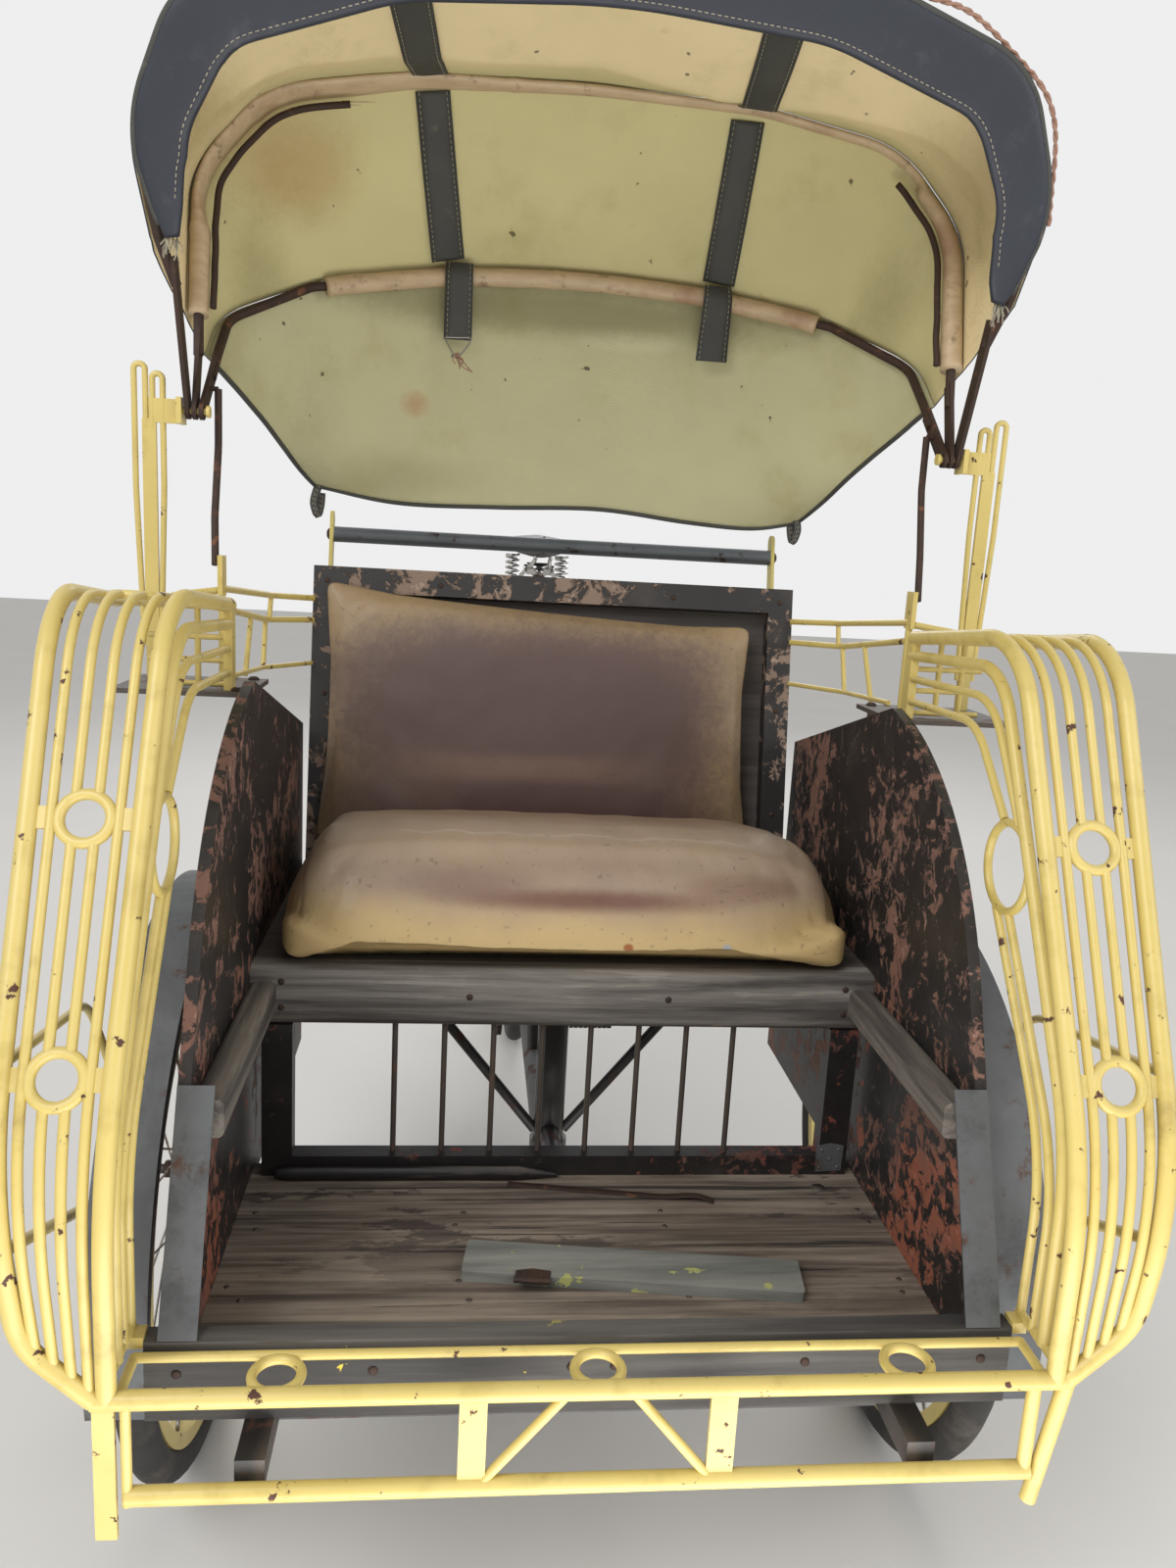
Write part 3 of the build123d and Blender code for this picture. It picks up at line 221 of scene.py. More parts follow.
def black_paint():
    f = Finish("black_paint", roughness=0.55)
    tint = f.mix(f.noise(20, 4), srgb(24, 23, 24), srgb(48, 45, 44))
    rusty = f.step(f.noise(24, 6, 0.7, shift=(5, 2, 9)), 0.55, 0.66)
    tint = f.mix(rusty, tint, f.mix(f.noise(60, 3), RUST, DARK_RUST))
    tint = f.mix(f.times(f.edges(0.52, 0.6), 0.4), tint, srgb(110, 98, 88))
    return f.done(tint, f.plus(0.45, f.times(rusty, 0.35)), f.noise(70, 5), bump=0.4, depth=0.001)


def flaking_paint(name, kept, wood_tints, low_tint=None, fine=44, grain=(1, 0.35, 1)):
    """Black paint that flakes off wood; kept is about the share of the paint that is left."""
    f = Finish(name, roughness=0.6)
    wood = f.mix(f.noise(16, 6, stretch=grain), srgb(*wood_tints[0]), srgb(*wood_tints[1]))
    if low_tint:
        low = f.times(f.step(f.axis("Z"), 0.74, 0.50), f.step(f.noise(9, 4, shift=(2, 0, 5)), 0.4, 0.62))
        wood = f.mix(low, wood, srgb(*low_tint))
    pale = f.step(f.noise(70, 4, 0.6, shift=(1, 8, 3)), 0.6, 0.66)
    wood = f.mix(f.times(pale, 0.4), wood, srgb(*[c + 40 for c in wood_tints[1]]))
    black = f.mix(f.noise(40, 4), srgb(18, 17, 18), srgb(42, 38, 37))
    value = f.plus(f.times(f.noise(5.5, 4, 0.55, shift=(4, 2, 7)), 0.45),
                   f.times(f.noise(fine, 9, 0.74, warp=0.5), 0.8))
    level = 0.625 - 0.26 * (kept - 0.5)
    scabs = f.step(value, level - 0.012, level + 0.012)
    tint = f.mix(scabs, wood, black)
    dusty = f.times(f.step(f.noise(13, 5, 0.6, shift=(9, 9, 1)), 0.5, 0.8), 0.22)
    tint = f.mix(dusty, tint, srgb(104, 92, 84))
    height = f.plus(scabs, f.times(f.noise(90, 4), 0.35))
    return f.done(tint, f.mix(scabs, (0.78,) * 3 + (1,), (0.45,) * 3 + (1,)), height, bump=0.7, depth=0.0015)


def weathered_floor():
    """Bare grey-brown planks whose grain runs across the vehicle, with splits and peeled dark paint."""
    f = Finish("weathered_floor", roughness=0.85)
    grain = f.noise(22, 9, 0.68, stretch=(0.09, 1.7, 1), warp=0.5)
    fine = f.noise(70, 6, 0.6, stretch=(0.06, 1.7, 1))
    tint = f.mix(f.step(f.plus(f.times(grain, 0.7), f.times(fine, 0.3)), 0.36, 0.66), srgb(72, 62, 54),
                 srgb(150, 137, 122))
    tint = f.mix(f.times(f.step(f.noise(5, 4, shift=(1, 4, 2)), 0.46, 0.7), 0.5), tint, srgb(88, 72, 60))
    peeled = f.step(f.noise(8, 8, 0.72, stretch=(0.45, 1.2, 1), shift=(6, 1, 1)), 0.55, 0.575)
    rear = f.step(f.axis("Y"), -0.86, -0.70)
    tint = f.mix(f.times(peeled, f.plus(0.2, f.times(rear, 0.6))), tint, srgb(54, 44, 42))
    cracks = f.step(f.noise(30, 6, 0.6, stretch=(0.05, 2.4, 1), shift=(3, 3, 3)), 0.405, 0.35)
    tint = f.mix(f.times(cracks, 0.85), tint, srgb(32, 26, 23))
    dust = f.times(f.step(f.axis("Y"), -0.86, -0.97), 0.3)
    tint = f.mix(dust, tint, srgb(172, 160, 140))
    return f.done(tint, 0.86, f.calc("SUBTRACT", grain, f.times(cracks, 1.2)), bump=0.7, depth=0.0018)


def worn_black_wood(name="worn_black_wood", worn=0.5, wood_tint=(140, 134, 126), stretch=(0.08, 1.6, 1.6)):
    """Black paint worn down to grey grain; stretch is small along the grain."""
    f = Finish(name, roughness=0.7)
    grain = f.noise(26, 8, 0.66, stretch=stretch, warp=0.3)
    wood = f.mix(f.step(grain, 0.35, 0.65), srgb(66, 60, 56), srgb(*wood_tint))
    black = f.mix(f.noise(30, 4), srgb(24, 23, 24), srgb(44, 41, 41))
    patches = f.noise(7, 5, 0.6, shift=(2, 6, 1))
    low = 0.50 + 0.1 * (1 - worn)
    mask = f.step(f.plus(f.times(patches, 0.5), f.times(grain, 0.6)), low, low + 0.1)
    mask = f.most(mask, f.times(f.edges(0.51, 0.56), 0.8))
    tint = f.mix(mask, black, wood)
    return f.done(tint, f.plus(0.5, f.times(mask, 0.35)), f.plus(grain, f.times(mask, -0.4)), bump=0.6, depth=0.0015)


def front_board_paint():
    """Worn grey paint with yellow chips, most of them along the lower edge."""
    f = Finish("front_board_paint", roughness=0.7)
    grain = f.noise(20, 7, 0.6, stretch=(0.1, 1.4, 1.6))
    tint = f.mix(f.step(grain, 0.35, 0.7), srgb(52, 50, 49), srgb(96, 92, 87))
    chips = f.step(f.noise(21, 6, 0.65, shift=(4, 0, 0)), 0.655, 0.675)
    low = f.step(f.axis("Z"), 0.431, 0.420)
    tint = f.mix(f.times(chips, f.plus(0.3, f.times(low, 0.7))), tint, srgb(206, 186, 62))
    return f.done(tint, 0.72, f.plus(grain, chips), bump=0.5, depth=0.0012)


def loose_board_paint():
    """Grey-green paint with pale chips."""
    f = Finish("loose_board_paint", roughness=0.75)
    grain = f.noise(24, 7, 0.6, stretch=(0.12, 1.4, 1.6))
    tint = f.mix(f.step(grain, 0.3, 0.7), srgb(96, 98, 94), srgb(142, 142, 134))
    chips = f.step(f.noise(34, 5, 0.6, stretch=(0.8, 1, 1), shift=(2, 5, 0)), 0.62, 0.65)
    tint = f.mix(f.times(chips, 0.8), tint, srgb(176, 178, 104))
    return f.done(tint, 0.75, f.plus(grain, chips), bump=0.5, depth=0.001)


def grey_sheet():
    """Dull, dented sheet metal with dark and rusty patches."""
    f = Finish("grey_sheet", metallic=0.35, roughness=0.5)
    tint = f.mix(f.noise(9, 5), srgb(70, 72, 74), srgb(112, 114, 116))
    tint = f.mix(f.step(f.noise(22, 6, 0.7), 0.58, 0.7), tint, srgb(84, 62, 50))
    tint = f.mix(f.times(f.step(f.noise(12, 6, 0.7, shift=(3, 3, 3)), 0.5, 0.7), 0.5), tint, srgb(46, 46, 47))
    crumpled = f.plus(f.times(f.noise(14, 3), 2.0), f.times(f.noise(60, 4), 0.3))
    return f.done(tint, f.plus(0.42, f.times(f.noise(40, 4), 0.25)), crumpled, bump=0.5, depth=0.003)


def rusty_steel():
    f = Finish("rusty_steel", metallic=0.3, roughness=0.7)
    tint = f.mix(f.noise(30, 5, 0.6), srgb(36, 30, 28), srgb(74, 52, 40))
    tint = f.mix(f.step(f.noise(55, 4), 0.6, 0.72), tint, srgb(108, 70, 48))
    return f.done(tint, 0.7, f.noise(90, 5), bump=0.5, depth=0.001)


def bare_steel():
    f = Finish("bare_steel", metallic=0.85, roughness=0.42)
    tint = f.mix(f.noise(18, 5), srgb(120, 116, 112), srgb(168, 164, 158))
    rusty = f.step(f.noise(36, 6, 0.7), 0.55, 0.68)
    tint = f.mix(rusty, tint, RUST)
    metal = f.calc("SUBTRACT", 0.85, f.times(rusty, 0.7))
    return f.done(tint, f.plus(0.32, f.times(rusty, 0.45)), f.noise(70, 4), bump=0.2, depth=0.0006, metallic=metal)


def bamboo():
    f = Finish("bamboo", roughness=0.5)
    fibres = f.noise(60, 6, 0.6, stretch=(0.25, 1.5, 1.5))
    tint = f.mix(fibres, srgb(152, 128, 100), srgb(206, 184, 148))
    tint = f.mix(f.step(f.noise(8, 4), 0.5, 0.72), tint, srgb(156, 124, 96))
    tint = f.mix(f.times(f.step(f.noise(35, 6, 0.7), 0.58, 0.7), 0.7), tint, srgb(96, 66, 48))
    return f.done(tint, 0.5, fibres, bump=0.35, depth=0.001)


def vinyl(name, tint_of, stain_and_shade_blobs, square=2.0):
    """Old coated cloth: a fine grain, small cracks, and blobs of stain and painted shade. tint_of makes the ground
    colour.
    """
    f = Finish(name, roughness=0.46, coat=0.08)
    tint = tint_of(f)
    for centre, size, soft, colour, strength in stain_and_shade_blobs:
        field = f.blob(at(*centre), [s / 1000 for s in size], soft, 0.22, 7, square)
        tint = f.mix(f.times(field, strength), tint, srgb(*colour))
    speckle = f.step(f.noise(120, 3, 0.6), 0.64, 0.70)
    tint = f.mix(f.times(speckle, 0.4), tint, srgb(80, 56, 44))
    scuffs = f.step(f.noise(40, 3, 0.5, stretch=(0.6, 1, 2.2), shift=(3, 3, 8), warp=2.0), 0.68, 0.72)
    tint = f.mix(f.times(scuffs, 0.35), tint, srgb(70, 54, 46))
    grain = f.plus(f.times(f.cells(900), 0.3), f.noise(22, 6, 0.62, warp=0.8))
    return f.done(tint, f.plus(0.38, f.times(f.noise(14, 4), 0.22)), grain, bump=0.32, depth=0.0022)


def seat_vinyl():
    def ground(f):
        low = f.mix(f.noise(6, 4), srgb(190, 164, 114), srgb(172, 146, 98))
        high = f.mix(f.noise(7, 5), srgb(158, 138, 112), srgb(130, 110, 96))
        level = f.plus(f.axis("Z"), f.times(f.plus(f.noise(8, 4), -0.5), 0.05))
        return f.mix(f.step(level, 0.680, 0.745), low, high)
    return vinyl("seat_vinyl", ground, (
        ((10, 455, 727), (140, 60, 11), 1.4, (96, 58, 42), 0.9),
        ((-130, 480, 742), (85, 60, 17), 1.2, (104, 78, 66), 0.7),
        ((-346, 437, 676), (3, 10, 24), 0.5, (84, 60, 38), 0.9),
        ((346, 437, 672), (3, 10, 26), 0.5, (84, 60, 38), 0.9),
        ((330, 452, 700), (16, 10, 3), 0.6, (104, 78, 50), 0.7),
        ((205, 470, 742), (70, 60, 14), 1.0, (114, 84, 66), 0.6),
        # Painted shadow, not a stain: this blob darkens the back of the seat's top, where the backrest shades it.
        ((20, 700, 786), (270, 110, 60), 1.0, (132, 106, 88), 0.6),
        ((65, 432, 676), (6, 30, 5), 0.5, (146, 84, 36), 1.0),
        ((184, 432, 678), (5, 30, 4), 0.6, (142, 152, 166), 0.8)))


def back_vinyl():
    def ground(f):
        return f.mix(f.noise(5, 4), srgb(158, 134, 98), srgb(136, 114, 88))
    return vinyl("back_vinyl", ground, (
        ((-34, 900, 846), (292, 400, 168), 0.5, (92, 72, 64), 0.95),
        ((-30, 900, 905), (262, 400, 96), 0.8, (80, 58, 54), 0.85),
        ((30, 900, 738), (200, 400, 56), 0.8, (76, 54, 52), 0.8),
        ((-265, 900, 742), (50, 400, 34), 0.9, (100, 80, 74), 0.6),
        ((-60, 900, 806), (150, 400, 18), 1.2, (126, 98, 78), 0.4)), square=4.0)


def hood_inside(name, front_tint, rear_tint, stain_and_shade_blobs):
    """Lining: cream in front of the middle bow and olive behind it, the olive starting a little ahead of the bow as
    painted shade in the fold there; dirty towards the bows, with blobs of stain and painted shade.
    """
    f = Finish(name, roughness=0.88)
    darker = f.noise(3.6, 5, 0.6)
    front = f.mix(darker, srgb(*front_tint), srgb(*[c * 0.88 for c in front_tint]))
    rear = f.mix(darker, srgb(*rear_tint), srgb(*[c * 0.84 for c in rear_tint]))
    # The olive begins a little ahead of the middle bow: painted shade in the fold after the crease.
    tint = f.mix(f.step(f.axis("Y"), -0.40, -0.325), front, rear)
    tint = f.mix(f.times(f.step(f.noise(6, 6, 0.65, shift=(2, 2, 7)), 0.5, 0.75), 0.55), tint, srgb(164, 154, 102))
    pale = f.step(f.noise(9, 7, 0.75, shift=(5, 1, 0), stretch=(0.7, 1, 1)), 0.62, 0.66)
    tint = f.mix(f.times(pale, 0.3), tint, srgb(196, 194, 150))
    brown = f.step(f.noise(7, 4, 0.6, shift=(8, 3, 4)), 0.69, 0.76)
    tint = f.mix(f.times(brown, 0.55), tint, srgb(140, 98, 62))
    spots = f.step(f.noise(44, 2, 0.5, shift=(1, 1, 4)), 0.735, 0.76)
    tint = f.mix(f.times(spots, 0.8), tint, srgb(62, 48, 34))
    for centre, size, soft, colour, strength in stain_and_shade_blobs:
        field = f.blob(at(*centre), [s / 1000 for s in size], soft, 0.4, 11)
        tint = f.mix(f.times(field, strength), tint, srgb(*colour))
    weave = f.times(f.waves(420), f.waves(420, turn=(0, 0, math.pi / 2)))
    return f.done(tint, 0.88, f.plus(f.times(weave, 0.3), f.noise(16, 6, 0.6, warp=0.6)), bump=0.4, depth=0.002)


def hood_outside():
    """Coated blue-black cloth, dusty in places."""
    f = Finish("hood_outside", roughness=0.5, coat=0.05)
    tint = f.mix(f.noise(5, 4), srgb(24, 27, 36), srgb(42, 46, 57))
    tint = f.mix(f.times(f.step(f.noise(16, 6, 0.7), 0.55, 0.75), 0.35), tint, srgb(84, 84, 88))
    height = f.plus(f.times(f.cells(700), 0.3), f.noise(26, 5))
    return f.done(tint, f.plus(0.42, f.times(f.noise(20, 4), 0.3)), height, bump=0.35, depth=0.0016)


def strap_web():
    f = Finish("strap_web", roughness=0.7)
    tint = f.mix(f.noise(18, 5), srgb(44, 45, 43), srgb(70, 70, 64))
    tint = f.mix(f.times(f.step(f.noise(34, 6, 0.7), 0.58, 0.7), 0.5), tint, srgb(104, 98, 84))
    return f.done(tint, 0.7, f.plus(f.times(f.cells(800), 0.4), f.noise(40, 4)), bump=0.35, depth=0.001)


def tyre_rubber():
    f = Finish("tyre_rubber", roughness=0.85)
    tint = f.mix(f.noise(22, 5), srgb(30, 29, 29), srgb(58, 55, 52))
    tint = f.mix(f.times(f.step(f.noise(9, 5, 0.7), 0.5, 0.75), 0.5), tint, srgb(104, 96, 86))
    return f.done(tint, 0.85, f.noise(110, 5), bump=0.35, depth=0.0008)


def saddle_vinyl():
    f = Finish("saddle_vinyl", roughness=0.55)
    tint = f.mix(f.noise(14, 5), srgb(28, 25, 24), srgb(56, 50, 47))
    cracks = f.step(f.cells(60, feature="DISTANCE_TO_EDGE"), 0.05, 0.02)
    tint = f.mix(f.times(cracks, 0.5), tint, srgb(92, 84, 76))
    return f.done(tint, 0.55, f.plus(f.noise(60, 4), f.times(cracks, -1)), bump=0.4, depth=0.001)


def chrome():
    f = Finish("chrome", metallic=1.0, roughness=0.25)
    spots = f.step(f.noise(60, 6, 0.7), 0.60, 0.68)
    tint = f.mix(spots, srgb(182, 180, 176), RUST)
    return f.done(tint, f.plus(0.22, f.times(spots, 0.5)), f.noise(80, 4), bump=0.2, depth=0.0005,
                  metallic=f.calc("SUBTRACT", 1.0, f.times(spots, 0.8)))


def black_rubber():
    f = Finish("black_rubber", roughness=0.8)
    tint = f.mix(f.noise(30, 4), srgb(32, 31, 31), srgb(58, 56, 54))
    return f.done(tint, 0.8, f.noise(120, 4), bump=0.3, depth=0.0008)


def thread(name, light, dark):
    f = Finish(name, roughness=0.9)
    return f.done(f.mix(f.noise(80, 4), srgb(*dark), srgb(*light)), 0.9, f.noise(300, 3), bump=0.4, depth=0.0006)


def handlebar_paint():
    """A dark tarnished bar between two yellow uprights."""
    f = Finish("handlebar_paint")
    dark = f.mix(f.noise(16, 6, 0.6, stretch=(0.4, 1, 1)), srgb(48, 50, 53), srgb(112, 116, 118))
    dark = f.mix(f.step(f.noise(44, 5, 0.7), 0.58, 0.68), dark, DARK_RUST)
    lemon = f.mix(f.noise(20, 4), srgb(188, 170, 84), srgb(206, 192, 118))
    lemon = f.mix(f.step(f.noise(46, 5, 0.62), 0.62, 0.66), lemon, RUST)
    upright = f.step(f.calc("ABSOLUTE", f.axis("X"), 0.0), 0.3500, 0.3515)
    metal = f.calc("SUBTRACT", 0.6, f.times(upright, 0.6))
    return f.done(f.mix(upright, dark, lemon), f.plus(0.42, f.times(f.noise(30, 4), 0.15)), f.noise(60, 4), bump=0.3,
                  depth=0.0008, metallic=metal)


YELLOW = yellow_paint()
BLACK_PAINT = black_paint()
PANEL = flaking_paint("side_panel_paint", 0.64, ((98, 68, 58), (132, 98, 84)), (150, 88, 66))
LEG_PAINT = flaking_paint("seat_leg_paint", 0.86, ((74, 50, 44), (112, 74, 62)), (120, 62, 50))
BACK_PAINT = flaking_paint("backrest_paint", 0.62, ((112, 92, 80), (150, 130, 114)), None, 30, (0.3, 1, 1))
FLOOR = weathered_floor()
RAIL_WOOD = worn_black_wood("seat_rail_wood", 0.62)
SIDE_WOOD = worn_black_wood("side_rail_wood", 0.55, (128, 120, 110), (1.6, 0.08, 1.6))
DARK_WOOD = worn_black_wood("dark_wood", 0.2, (92, 84, 78))
BOARD_PAINT = front_board_paint()
LOOSE_PAINT = loose_board_paint()
SHEET = grey_sheet()
RUSTY = rusty_steel()
STEEL = bare_steel()
HANDLEBAR = handlebar_paint()
BAMBOO = bamboo()
SEAT_VINYL = seat_vinyl()
BACK_VINYL = back_vinyl()
LINING = hood_inside("hood_lining", (240, 220, 172), (216, 206, 152), (
    ((-394, 800, 1605), (80, 80, 60), 1.2, (164, 124, 72), 0.5),
    ((-430, 880, 1480), (36, 120, 70), 1.4, (124, 112, 70), 0.5),
    ((430, 880, 1490), (36, 120, 80), 1.4, (124, 112, 70), 0.5),
    # Painted shade, not a stain: this blob darkens the fold on the right between the crease and the middle bow.
    ((415, 600, 1566), (90, 100, 80), 1.2, (146, 126, 76), 0.5),
    ((-440, 600, 1540), (60, 100, 90), 1.2, (146, 126, 76), 0.5),
    ((-178, 820, 1569), (14, 40, 14), 0.6, (128, 92, 60), 0.8)))
CURTAIN_LINING = hood_inside("curtain_lining", (204, 200, 158), (200, 196, 154), (
    ((-225, 975, 1330), (22, 60, 20), 0.9, (172, 134, 94), 0.7),
    ((85, 950, 1439), (80, 80, 14), 1.0, (214, 210, 176), 0.45),
    ((342, 975, 1331), (13, 60, 13), 0.5, (122, 82, 52), 0.8),
    ((0, 930, 1470), (430, 80, 30), 1.4, (116, 110, 74), 0.65),
    ((-400, 960, 1351), (60, 80, 110), 1.3, (112, 106, 72), 0.5),
    ((-260, 985, 1230), (120, 60, 26), 1.6, (140, 132, 94), 0.35)))
COVER = hood_outside()
WEB = strap_web()
RUBBER = tyre_rubber()
SADDLE = saddle_vinyl()
CHROME = chrome()
PLASTIC = black_rubber()
TWINE = thread("twine", (176, 140, 122), (120, 84, 66))
STITCH = thread("stitching", (170, 164, 146), (120, 114, 100))

CAD_FINISH = (
    (YELLOW, "front_bumper wheel_guard_left wheel_guard_right side_tie_rods hood_posts"),
    (YELLOW, "front_rim_left front_rim_right rear_rim"),
    (BLACK_PAINT, "chassis_frame under_seat_grille guard_brackets rear_frame"),
    (PANEL, "side_panel_left side_panel_right"),
    (SHEET, "panel_edge_strips front_mudguards rear_mudguard"),
    (SIDE_WOOD, "side_rails"),
    (FLOOR, "floor_planks"),
    (BOARD_PAINT, "front_board"),
    (RAIL_WOOD, "seat_front_rail"),
    (LEG_PAINT, "seat_legs"),
    (DARK_WOOD, "seat_board backrest_board"),
    (BACK_PAINT, "backrest_frame"),
    (RUSTY, "hood_stays hood_rear_arms hood_middle_arms hood_front_bow chain"),
    (HANDLEBAR, "handlebar"),
    (LOOSE_PAINT, "loose_board"),
    (BAMBOO, "hood_rear_bow hood_middle_bow"),
    (STEEL, "front_hub_left front_hub_right rear_hub crankset"),
    (CHROME, "saddle_support"),
    (PLASTIC, "pedal_left pedal_right"),
    (COVER, "hood_valance"),
)
for material, names in CAD_FINISH:
    for node_name in names.split():
        mesh = nodes[node_name].data
        mesh.materials.clear()
        mesh.materials.append(material)


# Mesh helpers

def add_piece(name, verts, faces, materials, body, slot_name, replaced=(), smooth=True, slots=None):
    """A mesh that rides on a body. slots gives each face's material by its place in materials."""
    mesh = bpy.data.meshes.new(name)
    mesh.from_pydata([tuple(v) for v in verts], [], faces)
    mesh.validate()
    for material in materials:
        mesh.materials.append(material)
    if slots is not None:
        mesh.polygons.foreach_set("material_index", slots)
    mesh.polygons.foreach_set("use_smooth", [smooth] * len(mesh.polygons))
    mesh.update()
    piece = bpy.data.objects.new(name, mesh)
    bpy.context.scene.collection.objects.link(piece)
    if replaced:
        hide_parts(*replaced)
    if body:
        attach(piece, body)
    return piece


def rounded(points, bends, step=12.0):
    """A path of runs whose corners are rounded, as evenly spaced points."""
    points = [Vector(p) for p in points]
    path = [points[0]]
    for before, corner, after, radius in zip(points, points[1:], points[2:], bends):
        a, b = (before - corner).normalized(), (after - corner).normalized()
        half = a.angle(b) / 2
        cut = radius / math.tan(half)
        centre = corner + (a + b).normalized() * (radius / math.sin(half))
        start, end = corner + a * cut - centre, corner + b * cut - centre
        turn = start.angle(end)
        count = max(2, int(turn * radius / step) + 1)
        for row in range(count + 1):
            share = row / count
            weight_a = math.sin((1 - share) * turn) / math.sin(turn)
            weight_b = math.sin(share * turn) / math.sin(turn)
            path.append(centre + start * weight_a + end * weight_b)
    path.append(points[-1])
    lengths = [0.0]
    for a, b in zip(path, path[1:]):
        lengths.append(lengths[-1] + (b - a).length)
    count = max(2, int(lengths[-1] / step))
    evenly = []
    row = 0
    for number in range(count + 1):
        goal = lengths[-1] * number / count
        while row < len(lengths) - 2 and lengths[row + 1] < goal:
            row += 1
        span = lengths[row + 1] - lengths[row]
        share = (goal - lengths[row]) / span if span else 0
        evenly.append(path[row].lerp(path[row + 1], share))
    return evenly


def tube_mesh(points, radius, sides=10):
    """Vertices and faces of a tube; radius is a number or a function of the share of the length."""
    points = [Vector(p) for p in points]
    count = len(points)
    across = Vector((0, 0, 1))
    verts, faces = [], []
    for row, point in enumerate(points):
        ahead = points[min(row + 1, count - 1)] - points[max(row - 1, 0)]
        ahead.normalize()
        if row == 0 and abs(ahead.dot(across)) > 0.9:
            across = Vector((1, 0, 0))
        across = (across - ahead * across.dot(ahead)).normalized()
        other = ahead.cross(across)
        size = radius(row / (count - 1)) if callable(radius) else radius
        for side in range(sides):
            turn = 2 * math.pi * side / sides
            verts.append(point + across * (size * math.cos(turn)) + other * (size * math.sin(turn)))
    for row in range(count - 1):
        a, b = row * sides, (row + 1) * sides
        for side in range(sides):
            next_side = (side + 1) % sides
            faces.append((a + side, a + next_side, b + next_side, b + side))
    faces.append(tuple(range(sides))[::-1])
    faces.append(tuple((count - 1) * sides + side for side in range(sides)))
    return verts, faces


def merged(shapes):
    """Several (vertices, faces) as one."""
    verts, faces = [], []
    for shape_verts, shape_faces in shapes:
        start = len(verts)
        verts += shape_verts
        faces += [tuple(start + v for v in face) for face in shape_faces]
    return verts, faces


def disc_mesh(centre, axis, radius, thickness, sides=16, domed=False):
    """A short cylinder, such as a bolt head or washer, whose far face may be domed."""
    centre, axis = Vector(centre), Vector(axis).normalized()
    across = axis.orthogonal().normalized()
    other = axis.cross(across)
    verts, faces = [], []
    levels = [(0, 1.0), (thickness * 0.5, 0.95), (thickness, 0.55)] if domed else [(0, 1.0), (thickness, 1.0)]
    for lift, grow in levels:
        for side in range(sides):
            turn = 2 * math.pi * side / sides
            verts.append(centre + axis * lift + (across * math.cos(turn) + other * math.sin(turn)) * (radius * grow))
    for level in range(len(levels) - 1):
        a, b = level * sides, (level + 1) * sides
        for side in range(sides):
            next_side = (side + 1) % sides
            faces.append((a + side, a + next_side, b + next_side, b + side))
    faces.append(tuple(range(sides))[::-1])
    faces.append(tuple((len(levels) - 1) * sides + side for side in range(sides)))
    return verts, faces


# Hood curves, as in the part's source: lean, radius of the hoop and half its outline

BOWS = {
    "front": (-21, 6, ((492, 190, None), (506, 300, 150), (440, 425, 120), (235, 490, 300), (0, 507, 900))),
    "middle": (17, 14, ((472, 120, None), (476, 300, 130), (400, 405, 120), (220, 442, 300), (0, 450, 900))),
    "rear": (50, 14, ((462, 120, None), (460, 205, 90), (345, 305, 150), (180, 355, 300), (0, 375, 900))),
}


def bow_curve(name, offset=0.0, turn=0.0, step=8.0):
    """Points along a bow from left to right, pushed outward by offset in the bow's own plane."""
    lean, _, half = BOWS[name]
    lean = math.radians(lean + turn)
    corners = [(-x, r) for x, r, _ in half] + [(x, r) for x, r, _ in half[-2::-1]]
    bends = [bend for *_, bend in half[1:]] + [bend for *_, bend in half[-2:0:-1]]
    flat = rounded([(x, r, 0) for x, r in corners], bends, step)
    points = []
    for row, point in enumerate(flat):
        ahead = flat[min(row + 1, len(flat) - 1)] - flat[max(row - 1, 0)]
        out = Vector((-ahead.y, ahead.x, 0)).normalized()
        moved = point + out * offset
        points.append(Vector((moved.x, PIVOT[0] + moved.y * math.sin(lean), PIVOT[1] + moved.y * math.cos(lean))))
    return points


def resampled(points, count):
    """As many points as count, evenly spaced along the line through points."""
    lengths = np.concatenate([[0], np.cumsum([(b - a).length for a, b in zip(points, points[1:])])])
    goals = np.linspace(0, lengths[-1], count)
    array = np.array([tuple(p) for p in points])
    return [Vector(tuple(np.interp(goal, lengths, array[:, axis]) for axis in range(3))) for goal in goals]


